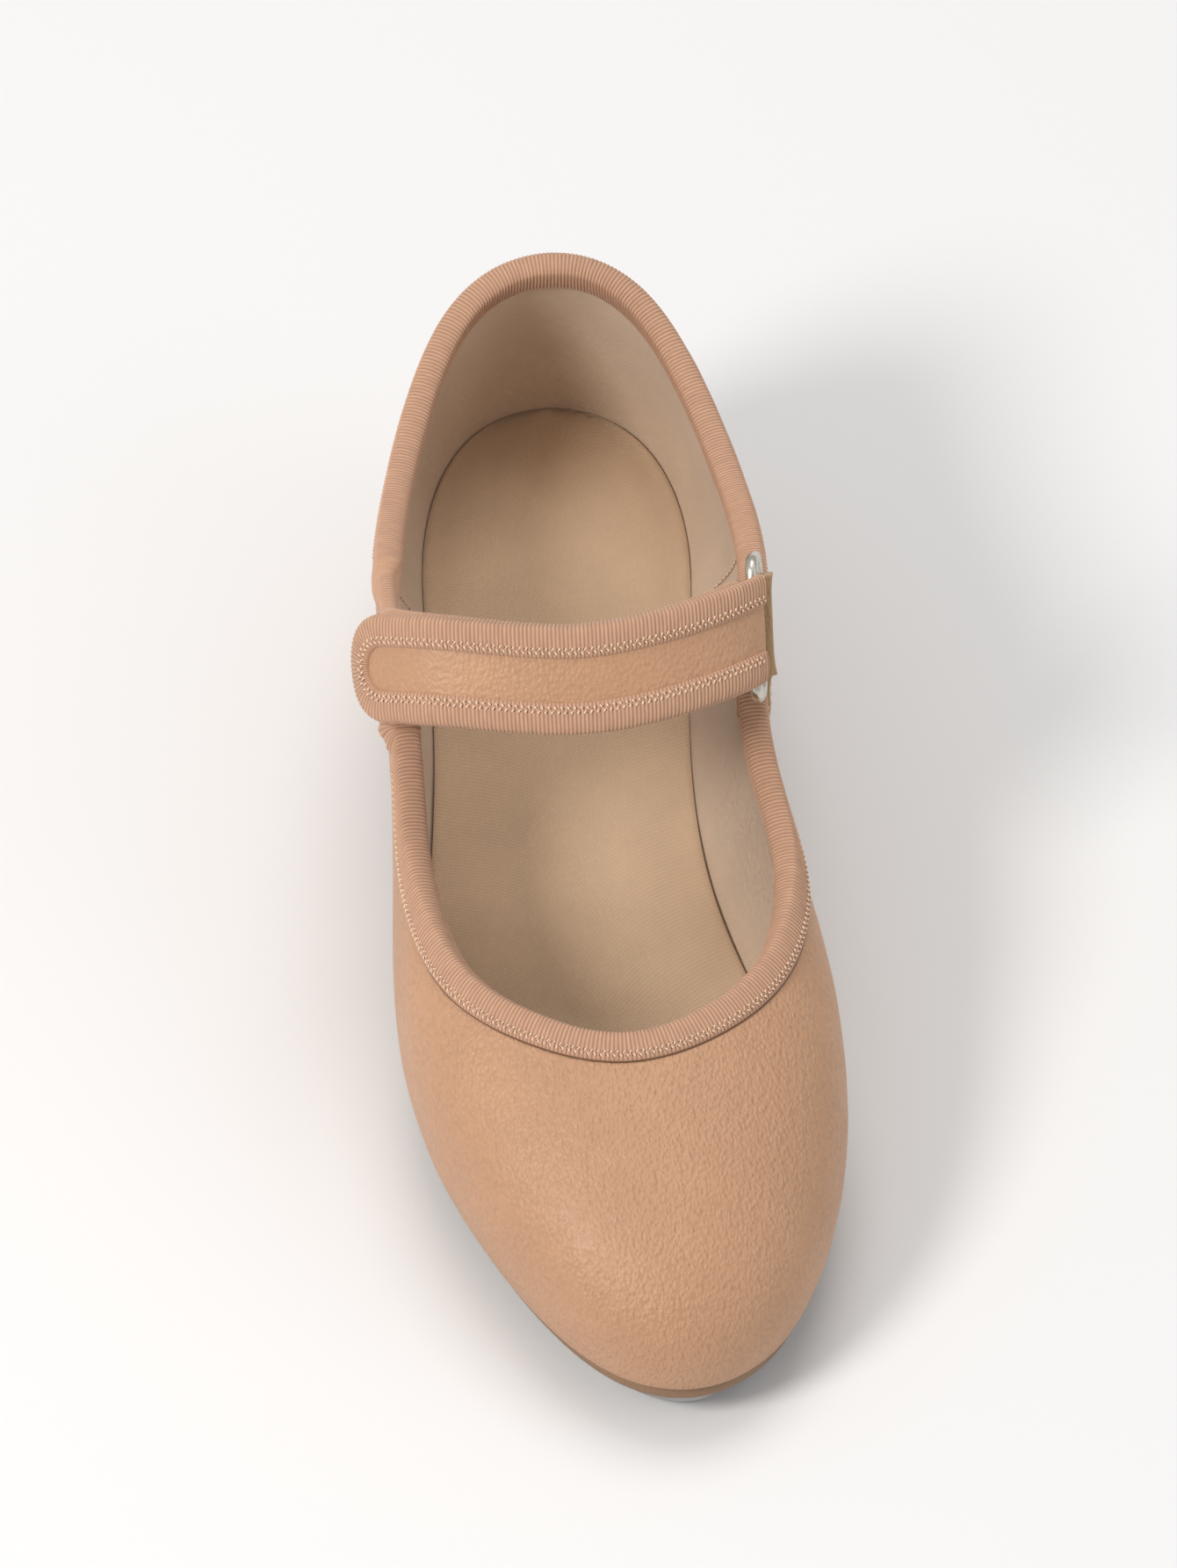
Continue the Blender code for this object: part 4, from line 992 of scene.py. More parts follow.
def needle_holes(name, places, normals, finish, radius=0.27):
    """Small dark lens-shaped marks where the thread goes in: painted shade in the needle holes."""
    normals = unit(normals)
    side = unit(np.cross(normals, np.array([0.31, 0.87, 0.38])))
    other = np.cross(normals, side)
    angle = np.linspace(0, 2 * math.pi, 9)[:-1]
    shape = Shape()
    faces = [(k, (k + 1) % 8, 8) for k in range(8)] + [((k + 1) % 8, k, 9) for k in range(8)]
    for place, n, a, b in zip(places, normals, side, other):
        ring = place + radius * (np.cos(angle)[:, None] * a + np.sin(angle)[:, None] * b)
        points = np.concatenate([ring, [place + 0.06 * n], [place - 0.1 * n]])
        shape.add(points, np.zeros((10, 2)), faces)
    return shape.finished(name, finish, 80.0)


def tracks(coarse, pitch):
    """Points every pitch mm along a run of (a, b, a raised) points, with the surface's normals."""
    fine, _ = resampled(coarse, pitch)
    return fine[:, 0], fine[:, 1], unit(fine[:, 2] - fine[:, 0])


def zigzag(name, coarse, finishes, pitch=STITCH_PITCH):
    """Two rows of slanted stitches between two tracks, meeting at needle holes along the middle."""
    a, b, normal = tracks(coarse, pitch / 4)
    middle = (a + b) / 2
    first = np.arange(0, len(a) - 6, 4)
    inset = 0.12
    starts = np.concatenate([a[first], b[first + 2]])
    ends = np.concatenate([middle[first + 2], middle[first + 4]])
    starts, ends = starts + (ends - starts) * inset, ends - (ends - starts) * inset
    normals = np.concatenate([normal[first], normal[first + 2]])
    sewn = threads(name, starts, ends, normals, finishes["thread"], THREAD)
    between = [(middle[first] + a[first]) / 2, (middle[first + 2] + b[first + 2]) / 2]
    onward = [middle[first + 2] - middle[first], middle[first + 4] - middle[first + 2]]
    places = np.concatenate(between) + np.concatenate(onward) * 0.95
    holes = needle_holes(name + "_holes", places + normals * 0.04, normals, finishes["hole"], 0.16)
    return sewn, holes


def running_stitch(name, coarse, finishes, pitch=2.4, gap=0.55, radius=THREAD):
    """One row of stitches end to end, each dipping into a needle hole."""
    a, _, normal = tracks(coarse, pitch)
    step = unit(a[1:] - a[:-1])
    starts, ends = a[:-1] + step * gap / 2, a[1:] - step * gap / 2
    sewn = threads(name, starts, ends, normal[:-1], finishes["thread"], radius)
    holes = needle_holes(name + "_holes", a, normal, finishes["hole"], 0.24)
    return sewn, holes


def put(objects, body, slot, *replaced):
    """Lets the pieces ride on a body with a slot, standing for the CAD nodes named."""
    for obj in objects if isinstance(objects, tuple) else (objects,):
        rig.ride(obj, body)
        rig.slot(obj, slot)
        if replaced:
            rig.replaces(obj, *replaced)
            replaced = ()


# ---------------------------------------------------------------- the upper


def dense(start, stop, per_station=16):
    """Stations from start to stop, on the grid of sixteenths between them."""
    inner = np.arange(math.ceil(start * per_station), math.floor(stop * per_station) + 1) / per_station
    inner = inner[(inner > start + 0.02) & (inner < stop - 0.02)]
    return np.concatenate([[start], inner, [stop]])


def undulation(points):
    """How far the leather stands off its last, in millimetres: the slow unevenness of lasted leather."""
    return 0.22 * soft_noise(points, 21.0, 1) + 0.07 * soft_noise(points, 7.0, 2)


def build_vamp(finishes):
    """The vamp with the root of the strap growing out of it, as one skin."""
    stations = dense(-SIDE_SEAM, SIDE_SEAM)
    levels = np.linspace(0, 1, 44)
    rows = len(stations)
    face = wall(stations / COUNT, levels)
    fade = np.sin(math.pi * np.clip(levels, 0.02, 0.98)) ** 0.5
    outward = wall_normal(stations / COUNT, np.tile(levels, (rows, 1)))[0]
    face = face + outward * (undulation(face) * fade)[..., None]
    shape = Shape()
    shape.grid(face)
    root = [i for i, at in enumerate(stations) if -ROOT_REAR - 0.01 <= at <= -ROOT_FRONT + 0.01]
    across = np.array([(-stations[i] - ROOT_FRONT) / (ROOT_REAR - ROOT_FRONT) for i in root])
    run = np.concatenate([np.linspace(0, 1, 17), np.linspace(1, STRAP_SPLIT, 7)[1:]])
    band = strap_face(across[:, None], run[None, :])
    along, up = run_lengths(face, 0)[root, -1], run_lengths(face, 1)[root, -1]
    uvs = np.stack([np.tile(along[:, None], (1, len(run))), run_lengths(band, 1) + up[:, None]], -1)
    shape.grid(band, uvs=uvs)
    vamp = shape.finished("vamp_leather", finishes["leather"], 60.0, weld=0.02)
    thicken(vamp, LEATHER)
    put(vamp, "shoe", "caramel_leather", "vamp")


def thicken(obj, thickness):
    """Gives an open skin its thickness on the foot's side, and rounds the rims."""
    modifier = obj.modifiers.new("thickness", "SOLIDIFY")
    modifier.thickness = thickness * MM
    modifier.offset = -1
    modifier.use_even_offset = True
    round_rims(obj, 0.3)


def build_quarters(finishes):
    """The two quarters, each skived to slip under the vamp's edge at the side seam."""
    levels = np.linspace(0, 1, 40)
    slit = 0.03
    for name, start, stop, seam in (
        ("quarter_inner", 6.2, 9 - slit, 6.2),
        ("quarter_outer", 9 + slit, 11.8, 11.8),
    ):
        stations = dense(start, stop)
        u = stations / COUNT
        dip = np.clip(1 - (np.abs(stations - seam) - 0.14) / 0.2, 0, 1)[:, None]
        face = wall(u, levels)
        bend = undulation(face) * np.sin(math.pi * np.clip(levels, 0.02, 0.98)) ** 0.5
        outer = wall(u, levels, bend * (1 - dip) - (LEATHER + 0.05) * dip)
        inner = wall(u, levels, -LEATHER * (1 - dip) - 2.15 * dip)
        quarter = shell(name + "_leather", outer, inner, finishes["leather"])
        put(quarter, "shoe", "caramel_leather", name)
    for name, station in (("side_seam_inner", 6.27), ("side_seam_outer", 11.73)):
        for row, shift in (("front", 0.0), ("rear", 0.1)):
            at = station - shift if station < 9 else station + shift
            u = np.full(50, at / COUNT)
            v = np.linspace(0.06, 0.9, 50)
            points = [
                np.array([wall(u[i : i + 1], v[i : i + 1], h)[0, 0] for i in range(50)])
                for h in (0.02, 0.02, 1.0)
            ]
            sewn = running_stitch(f"{name}_stitch_{row}", np.stack(points, 1), finishes)
            put(sewn, "shoe", "caramel_leather")


def build_back_strip(finishes):
    """The strip over the back seam, with a row of stitches down each edge."""
    length = wall_length(np.array([0.5]))[0]
    u = 0.5 + np.linspace(-0.0112, 0.0112, 9)
    v = np.linspace(0.02, 1 - (TOPLINE_LEG - 1.5) / length, 40)
    swell = 0.25 * np.cos(np.linspace(-1.2, 1.2, 9))[:, None]
    strip = shell("back_strip_leather", wall(u, v, 0.85 + swell), wall(u, v, 0.02), finishes["leather"])
    put(strip, "shoe", "caramel_leather", "back_strip")
    for side, shift in (("inner", -0.0093), ("outer", 0.0093)):
        line = wall(np.array([0.5 + shift]), v[1:-1], 1.02)[0]
        raised = wall(np.array([0.5 + shift]), v[1:-1], 2.0)[0]
        track = np.stack([line, line, raised], 1)
        put(running_stitch(f"back_strip_stitch_{side}", track, finishes), "shoe", "caramel_leather")


def build_linings(finishes):
    """The cloth lining, with soft wrinkles, in its vamp and quarter pieces."""
    levels = np.linspace(0, 1, 36)
    for name, start, stop in (
        ("vamp_lining", -SIDE_SEAM, SIDE_SEAM),
        ("quarter_lining", SIDE_SEAM + 0.02, COUNT - SIDE_SEAM - 0.02),
    ):
        u = dense(start, stop) / COUNT
        face = wall(u, levels, LINING_OUT - LINING)
        fade = np.sin(math.pi * np.clip(levels, 0.02, 0.98))
        ripple = 0.3 * soft_noise(face, 11.0, 5) * fade
        inner = wall(u, levels, LINING_OUT - LINING - 0.1 + ripple)
        outer = wall(u, levels, LINING_OUT + ripple * 0.5)
        cloth = shell(name + "_cloth", outer, inner, finishes["lining"], rim=0.2)
        put(cloth, "shoe", "cotton_lining", name)
    for name, station in (("lining_seam_inner", 6.5), ("lining_seam_outer", 11.5)):
        v = np.linspace(0.2, 0.9, 40)
        u = np.array([station / COUNT])
        line, raised = wall(u, v, LINING_OUT - LINING - 0.25)[0], wall(u, v, LINING_OUT - LINING - 1.2)[0]
        put(running_stitch(name, np.stack([line, line, raised], 1), finishes), "shoe", "cotton_lining")


def build_edge_band(finishes):
    """The leather band round the sole's edge, its lip rolled in against the upper."""
    u = np.arange(420) / 420
    section = [
        (-1.9, 0.0), (-1.6, -0.02), (-1.35, 0.12), (-1.2, 0.5), (-1.14, 1.2), (-1.14, 1.9), (-1.22, 2.5),
        (-1.4, 2.9), (-1.7, 3.05), (-1.9, 3.0), (-1.9, 1.5),
    ]
    swell = 0.06 * soft_noise(np.column_stack([outline(u), np.zeros(420)]), 9.0, 7)
    loops = [sole_point(*outline(u, out + swell).T, height) for out, height in section]
    # The band takes the darker edge leather, partly painted shade under the upper's overhang.
    band = sweep("sole_edge_band_leather", np.stack(loops, 1), finishes["edge"], closed=True)
    put(band, "shoe", "caramel_leather", "sole_edge_band")


# ---------------------------------------------------------------- binding


def stitch_section(leg, low, high):
    """Two tracks on a tape's outer face, low and high mm from its inner edge, and the first one raised."""
    return lambda thickness: [(leg - low, 1.02), (leg - high, 1.16), (leg - low, 2.0)]


def front_edge(section):
    """Along the topline from the tab round the toe to the strap, and up the strap's front edge."""
    top = topline_rows(dense(-ROOT_FRONT + 0.08, TAB_STATIONS[0] - 0.03, 24)[::-1], section)
    root = strap_rows(np.linspace(0.22, STRAP_SPLIT, 30), False, section)
    return top, root


def rear_edge(section):
    """Along the topline from the tab round the heel to the strap, and up the strap's rear edge."""
    top = topline_rows(dense(TAB_STATIONS[1] + 0.03, COUNT - ROOT_REAR - 0.06, 24), section)
    root = strap_rows(np.linspace(0.3, STRAP_SPLIT, 30), True, section)
    return top, root


# Stations along which the dark strip of painted shadow runs past the tape's edge.
TAPE_SHADOW_SPAN = {
    "front": (-ROOT_FRONT + 0.1, TAB_STATIONS[0] - 0.1),
    "rear": (TAB_STATIONS[1] + 0.1, COUNT - ROOT_REAR - 0.1),
}


def tape_shadow_section(thickness):
    """A thin dark strip just past the tape's outer leg: painted shadow where the tape's edge meets the leather."""
    out, back = TOPLINE_LEG + 0.22, TOPLINE_LEG - 0.2
    return [(out, 0.02), (out, 0.3), (back, 0.42), (back, 0.02)]


def build_topline_binding(finishes):
    """The ribbed tape round the topline and up the strap, its stitches, and a dark strip of painted shadow at its
    edge.
    """
    tape = lambda thickness: tape_section(TOPLINE_LEG, thickness)
    for name, edge, fan, replaced in (
        ("front", front_edge, 12, ("topline_tape_front", "lower_strap_tape_front")),
        ("rear", rear_edge, 8, ("topline_tape_rear", "lower_strap_tape_rear")),
    ):
        top, root = edge(tape)
        corner = run_lengths(top.mean(axis=1, keepdims=True), 0)[-1, 0]
        whole = smoothed(joined(top, root, fan), 3)
        bunch = corner + 2.5 if name == "front" else None
        binding = ribbed_tape(f"topline_binding_{name}", whole, finishes["grosgrain"], bunch)
        put(binding, "shoe", "grosgrain", *replaced)
        top, _ = edge(stitch_section(TOPLINE_LEG, 0.45, 1.95))
        sewn = zigzag(f"topline_stitch_{name}", top[:-3], finishes)
        put(sewn, "shoe", "grosgrain")
        # A dark strip just past the tape: painted shadow at its edge.
        first, last = TAPE_SHADOW_SPAN[name]
        shadow = topline_rows(dense(first, last, 12), tape_shadow_section)
        shadow_strip = sweep(f"topline_tape_shadow_strip_{name}", resampled(shadow, 1.2)[0], finishes["patch_base_and_shadow_strip"])
        put(shadow_strip, "shoe", "grosgrain")


# ---------------------------------------------------------------- straps


def lower_strap_bend():
    """Where the lower strap begins and ends its bend with the ring."""
    start = in_frame(strap_point(*arch(math.radians(10), 0), 0.0))
    end = in_frame(strap_point(*arch(math.radians(60), 0), 0.0))
    return {"start": start, "end": end}


def bend_lower(objects, slot):
    """Lets pieces of the lower strap bend between the shoe and the ring."""
    for obj in objects if isinstance(objects, tuple) else (objects,):
        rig.slot(obj, slot)
        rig.blend(obj, "shoe", "ring", **lower_strap_bend())


def build_lower_strap(finishes):
    """The lower strap beyond its root: leather with a tape on each edge, following the ring at its end."""
    s = np.linspace(0, 1, 15)
    run = np.linspace(STRAP_SPLIT, 2, 60)
    outer, inner = strap_out(s[None, :], run[:, None], 0.0), strap_out(s[None, :], run[:, None], -LEATHER)
    band = baked(shell("lower_strap_leather", outer, inner, finishes["strap"]))
    bend_lower(band, "caramel_leather")
    for name, rear in (("front", False), ("rear", True)):
        rows = strap_rows(np.linspace(STRAP_SPLIT, 1.985, 50), rear, lambda t: tape_section(STRAP_LEG, t))
        tape = ribbed_tape(f"lower_strap_binding_{name}", rows, finishes["grosgrain"])
        bend_lower(tape, "grosgrain")
        line = strap_rows(np.linspace(1.02, 1.98, 50), rear, stitch_section(STRAP_LEG, 0.55, 2.2))
        bend_lower(zigzag(f"lower_strap_stitch_{name}", line, finishes), "grosgrain")


def patch_shell(name, point, across, along, finishes):
    """A fastening patch between two grids, given by point(across, along, out)."""
    grid = [point(across[None, :], along[:, None], out) for out in (0.55, 0.0)]
    return shell(name, grid[0], grid[1], finishes["patch_base_and_shadow_strip"], rim=0.15)


def fuzz(name, places, normals, finish, seed, height=0.75):
    """A pile of small loops of yarn, each an arch leaning its own way."""
    rng = np.random.default_rng(seed)
    shape = Shape()
    t = np.linspace(0, 1, 6)
    angle = np.linspace(0, 2 * math.pi, 5)
    quads = grid_quads(6, 5)
    for place, n in zip(places, unit(normals)):
        side = unit(np.cross(n, rng.normal(size=3)))
        lean = unit(n + 0.45 * rng.normal(size=3))
        span, tall = rng.uniform(0.25, 0.5), height * rng.uniform(0.6, 1.15)
        rise = np.sin(math.pi * t)[:, None] * tall - 0.05
        centre = place + side * (t[:, None] - 0.5) * span * 2 + lean * rise
        across = unit(np.cross(side, n))
        along = unit(np.gradient(centre, axis=0))
        up = np.cross(along, across)
        ring = across * np.cos(angle)[:, None, None] + up * np.sin(angle)[:, None, None]
        tube = (centre + 0.075 * ring).transpose(1, 0, 2)
        shape.add(tube, np.zeros((30, 2)), quads)
        for end in (0, -1):
            shape.add(tube[end, :4], np.zeros((4, 2)), [np.arange(4)])
    return shape.finished(name, finish, 180.0, weld=0.002)


def build_patches(finishes):
    """The loop patch on the strap's root and the hook patch under the upper strap."""
    s, r = np.linspace(0.2, 0.8, 12), np.linspace(0.45, 1.3, 40)
    base = patch_shell("loop_patch_base", lambda a, b, out: strap_out(a, b, 0.3 + out), s, r, finishes)
    put(base, "shoe", "hook_tape", "loop_patch")
    rng = np.random.default_rng(11)
    s, r = rng.uniform(0.21, 0.79, 1500), rng.uniform(0.46, 1.29, 1500)
    foot = strap_out(s, r, 0.8)
    pile = fuzz("loop_patch_pile", foot, strap_out(s, r, 2.0) - foot, finishes["fuzz"], 5)
    put(pile, "shoe", "hook_tape")

    w, d = np.linspace(-1, 1, 10) * (PATCH_HALF_WIDTH - 0.5), np.linspace(5.5, 26, 24)
    under = lambda a, b, out: upper_strap_point(b + 0 * a, a + 0 * b, -0.15 - out)
    base = patch_shell("hook_patch_base", under, w, d, finishes)
    put(base, "strap", "hook_tape", "hook_patch")
    w, d = rng.uniform(-5.8, 5.8, 700), rng.uniform(5.7, 25.8, 700)
    low, high = upper_strap_point(d, w, -0.7), upper_strap_point(d, w, -1.7)
    put(fuzz("hook_patch_hooks", low, high - low, finishes["fuzz"], 6, 0.45), "strap", "hook_tape")


def build_upper_strap(finishes):
    """The strap that fastens: crowned leather, its tape turned round the tip and stitched down."""
    share = np.linspace(1, -1, 17)
    near = STRAP_HALF_WIDTH * (1 - np.cos(np.linspace(0.06, math.pi / 2, 14)))
    distance = np.concatenate([near, np.linspace(STRAP_HALF_WIDTH, STRAP_LENGTH, 70)[1:]])
    inside = np.clip(STRAP_HALF_WIDTH - distance, 0, None)
    half = np.sqrt(STRAP_HALF_WIDTH**2 - inside**2)
    w = np.outer(half, share)
    far = np.repeat(distance[:, None], len(share), 1)
    crown = 0.35 * (1 - share**2) * np.clip(distance / 12, 0, 1)[:, None]
    outer, inner = upper_strap_point(far, w, LEATHER + crown), upper_strap_point(far, w, 0)
    leather = shell("upper_strap_leather", outer, inner, finishes["strap"])
    put(leather, "strap", "caramel_leather", "upper_strap")

    tape = upper_strap_rows(lambda thickness: tape_section(STRAP_LEG, thickness))
    binding = ribbed_tape("upper_strap_binding", tape, finishes["grosgrain"])
    put(binding, "strap", "grosgrain", "upper_strap_tape")
    line = upper_strap_rows(stitch_section(STRAP_LEG, 0.55, 2.2))
    put(zigzag("upper_strap_stitch", line, finishes), "strap", "grosgrain")


# ---------------------------------------------------------------- ring, fold and tab


def build_ring(finishes):
    """The wire ring: a rounded rectangle whose ends stand out past the strap."""
    strap_bar, anchor_bar, direction, _ = ring_frame()
    corner, half = 2.6, BAR_SPACING / 2
    middle = (strap_bar + anchor_bar) / 2
    centres, radial = [], []
    for k, (sx, sw) in enumerate([(1, 1), (-1, 1), (-1, -1), (1, -1)]):
        for a in np.linspace(0, math.pi / 2, 9) + k * math.pi / 2:
            along = sx * (half - corner) + corner * math.cos(a)
            w = sw * (RING_HALF_LENGTH - corner) + corner * math.sin(a)
            centre = middle + direction * along
            centres.append(strap_point(*centre, w))
            out = centre + direction * math.cos(a)
            radial.append(strap_point(*out, w + math.sin(a)) - strap_point(*centre, w))
    centres, radial = np.array(centres), unit(np.array(radial))
    flat = unit(np.cross(np.roll(centres, -1, 0) - np.roll(centres, 1, 0), radial))
    turn = np.linspace(0, 2 * math.pi, 17)[:-1]
    ring = radial[:, None] * np.cos(turn)[:, None] + flat[:, None] * np.sin(turn)[:, None]
    wire = sweep("strap_ring_wire", centres[:, None] + ring * WIRE / 2, finishes["nickel"], closed=True)
    put(wire, "ring", "nickel", "strap_ring")


def fold_path(out, steps=25):
    """(x, q) round the strap bar, from the lower strap to the upper strap, out mm from mid-band."""
    bar, _, direction, outward = ring_frame()
    turn = np.radians(np.linspace(-92, 88, steps))
    radius = 2.55 + 0.5 * np.cos(turn) ** 2 + out
    loop = bar + (np.cos(turn) * radius)[:, None] * direction + (np.sin(turn) * radius)[:, None] * outward
    return loop


def bend_fold(obj, slot):
    """Lets a piece bend between the ring and the upper strap."""
    bar, _, _, outward = ring_frame()
    start, end = (in_frame(strap_point(*(bar + outward * side * 2.6), 0.0)) for side in (-1, 1))
    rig.slot(obj, slot)
    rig.blend(obj, "ring", "strap", start=start, end=end)


def build_fold(finishes):
    """The strap's half turn round the ring, flush with the tapes, which opens as the upper strap swings."""
    share = np.linspace(1, -1, 21)
    w = (STRAP_HALF_WIDTH + 0.3) * share
    swell = 0.3 + 0.55 * np.abs(share) ** 4
    outer = np.stack([strap_point(*fold_path(LEATHER / 2 + h).T, at) for h, at in zip(swell, w)], 1)
    inner = np.stack([strap_point(*fold_path(-LEATHER / 2).T, at) for at in w], 1)
    # The fold takes the darker copy of the strap leather: painted shade.
    fold = baked(shell("strap_fold_leather", outer, inner, finishes["fold"]))
    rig.replaces(fold, "strap_fold")
    bend_fold(fold, "caramel_leather")


def build_tab(finishes):
    """The tab that holds the ring: round the anchor bar, a leg each side of the topline, stitched down."""
    _, bar, direction, outward = ring_frame()
    near, far = WIRE / 2 + 0.15, WIRE / 2 + GAP + TAB
    turn = np.radians(np.linspace(-98, 98, 17))
    circle = -np.cos(turn)[:, None] * direction + np.sin(turn)[:, None] * outward
    columns = 19
    u = np.linspace(*TAB_STATIONS, columns) / COUNT
    length = wall_length(u)[:, None]
    inner = -UPPER_THICKNESS - 0.1
    depths = 1 - np.linspace(9.0, 0.5, 9) / length
    legs = {h: wall(u, depths, h) for h in (0.02, GAP + TAB, inner, inner - TAB)}
    faces = {}
    for side, radius, outer_h, inner_h in (("out", far, GAP + TAB, inner - TAB), ("in", near, 0.02, inner)):
        rows = []
        for i, w in enumerate(np.linspace(TAB_HALF_WIDTH, -TAB_HALF_WIDTH, columns)):
            loop = strap_point(*(bar + circle * radius).T, w)
            rows.append(np.concatenate([legs[inner_h][i], loop, legs[outer_h][i][::-1]]))
        faces[side] = smoothed(np.array(rows).transpose(1, 0, 2), 2).transpose(1, 0, 2)
    # The tab takes the darker copy of the leather: painted shade.
    tab = shell("ring_tab_leather", faces["out"], faces["in"], finishes["fold"], rim=0.35)
    put(tab, "shoe", "caramel_leather", "ring_tab")
    for name, depth in (("upper", 2.2), ("lower", 7.9)):
        v = 1 - depth / length[1:-1]
        line = wall(u[1:-1], v, GAP + TAB + 0.02)[:, 0]
        raised = wall(u[1:-1], v, GAP + TAB + 1.0)[:, 0]
        track = np.stack([line, line, raised], 1)
        sewn = running_stitch(f"ring_tab_stitch_{name}", track, finishes, 1.9)
        put(sewn, "shoe", "caramel_leather")


# ---------------------------------------------------------------- sole and heel


def plate_grids(out, lift, thickness, y_from=None, y_to=None, bow=0.0, rows=120, columns=31):
    """The lower and upper grids of a plate that follows the sole's line."""
    fine = np.linspace(0, 0.5, 900)
    inner, outer = outline(fine, out), outline(-fine, out)
    low = inner[0, 1] if y_from is None else y_from
    high = inner[-1, 1] if y_to is None else y_to
    even = np.linspace(0, 1, rows)
    tight = 0.5 - 0.5 * np.cos(np.linspace(0, math.pi, rows))
    share = tight if y_to is None else np.where(even < 0.5, tight, even)
    y = low + (high - low) * (0.0002 + 0.9996 * share)
    right, left = np.interp(y, inner[:, 1], inner[:, 0]), np.interp(y, outer[:, 1], outer[:, 0])
    across = np.linspace(0, 1, columns)
    grid_x = right[:, None] + (left - right)[:, None] * across
    grid_y = y[:, None] + bow * share[:, None] ** 2 * (1 - (2 * across - 1) ** 2)
    return sole_point(grid_x, grid_y, lift), sole_point(grid_x, grid_y, lift + thickness)


def screw_turn(x, y, foot):
    """Places a screw whose head faces down at x, y, with its head's face foot mm above the underside line."""
    place = Vector(sole_point(x, y, foot))
    up = (Vector(sole_point(x, y, foot + 1)) - place).normalized()
    turn = Vector((0, 0, -1)).rotation_difference(-up).to_matrix().to_4x4()
    return Matrix.Translation((place + Vector(CENTRE_SHIFT)) * MM) @ turn @ Matrix.Rotation(math.pi, 4, "X")


def turned(name, steps_out, matrix, finish=None, sides=40):
    """A closed turned solid from (radius, height) points, top to bottom, placed by a matrix."""
    angle = np.linspace(0, 2 * math.pi, sides + 1)[:-1]
    shape = Shape()
    rings = np.array([[(r * math.cos(a), r * math.sin(a), z) for a in angle] for r, z in steps_out])
    looped = np.concatenate([rings, rings[:, :1]], 1) - CENTRE_SHIFT
    shape.grid(looped)
    shape.add(rings[0] - CENTRE_SHIFT, rings[0][:, :2], [np.arange(sides)])
    shape.add(rings[-1] - CENTRE_SHIFT, rings[-1][:, :2], [np.arange(sides)])
    obj = shape.finished(name, finish, 35.0, weld=0.001)
    obj.matrix_world = matrix
    return obj


def build_screws(prefix, places, foot, length, finishes):
    """Countersunk slotted screws, and the cutters for their holes."""
    cutters = []
    for number, (x, y) in enumerate(places, 1):
        matrix = screw_turn(x, y, foot)
        head = [
            (SCREW_HEAD - 0.25, 0.02),
            (SCREW_HEAD - 0.05, -0.1),
            (SCREW_HEAD, -0.35),
            (SCREW_SHANK, -COUNTERSINK),
            (SCREW_SHANK, -length),
        ]
        screw = turned(f"{prefix}_screw_head_{number}", head, matrix, finishes["steel"])
        slot = box_cutter((0.85, 7.0, 1.5), matrix @ Matrix.Rotation(0.5 * number, 4, "Z"))
        cut_away(screw, [slot])
        put(screw, "shoe", "steel", f"{prefix}_screw_{number}")
        for part in range(2):
            hole = [(3.55, 6.0), (3.55, 0.3), (3.25, 0.0), (3.2, -0.35), (1.4, -2.15), (1.4, -9.0)]
            cutters.append(turned(f"{prefix}_hole_{number}_{part}", hole, matrix))
    return cutters


def box_cutter(size, matrix):
    """A box that cuts a slot."""
    bpy.ops.mesh.primitive_cube_add(size=1)
    cutter = bpy.context.active_object
    cutter.data.transform(Matrix.Diagonal((*(side * MM for side in size), 1)))
    cutter.matrix_world = matrix
    bpy.context.view_layer.update()
    return cutter


def build_sole(finishes):
    """Outsole, toe board and toe tap, with the tap's screws."""
    places = [(6, -103), (25, -76), (-12, -76)]
    tap_foot = -2 * GAP - TAP_BOARD - TAP
    bpy.context.view_layer.update()
    holes = build_screws("toe_tap", places, tap_foot + 0.15, TOE_SCREW_LENGTH, finishes)
    low, high = plate_grids(SOLE_MARGIN, 0, SOLE)
    outsole = shell("outsole_suede", low, high, finishes["suede"], rim=0.4)
    put(outsole, "shoe", "sole_suede", "outsole")
    rear = {"y_to": TOE_TAP_REAR, "bow": 4}
    low, high = plate_grids(-TAP_INSET + 0.4, -GAP - TAP_BOARD, TAP_BOARD + GAP - 0.02, **rear)
    board = baked(shell("toe_tap_board_fibre", low, high, finishes["fibre"], rim=0.15))
    put(cut_away(board, holes[0::2]), "shoe", "fibre_board", "toe_tap_board")
    low, high = plate_grids(-TAP_INSET, tap_foot, TAP, y_to=TOE_TAP_REAR, bow=4)
    tap = baked(shell("toe_tap_plate", low, high, finishes["aluminium"], rim=0.8))
    put(cut_away(tap, holes[1::2]), "shoe", "aluminium", "toe_tap")


def heel_outline(inset, rear_points=90, breast_points=31):
    """Plan of the heel: the seat's edge, moved in, closed by a hollow breast."""
    edge = outline(np.linspace(0, 1, 1441), SOLE_MARGIN + EDGE_BAND - inset)
    rear = edge[edge[:, 1] > HEEL_BREAST + 1 + inset]
    rear = rear[np.linspace(0, len(rear) - 1, rear_points).astype(int)]
    across = np.linspace(0, 1, breast_points)[1:-1]
    breast = rear[-1] + (rear[0] - rear[-1]) * across[:, None]
    breast[:, 1] += 5.0 * (1 - (2 * across - 1) ** 2)
    return np.concatenate([rear, breast])


def heel_part(name, levels, finish, rim):
    """A heel solid through outlines, each (inset, height), with its rims and breast corners rounded."""
    loops = np.stack([np.column_stack([heel_outline(i), np.full(119, h)]) for i, h in levels])
    part = sweep(name, loops, finish, sharp=40.0)
    return baked(round_rims(part, rim, limit=35))


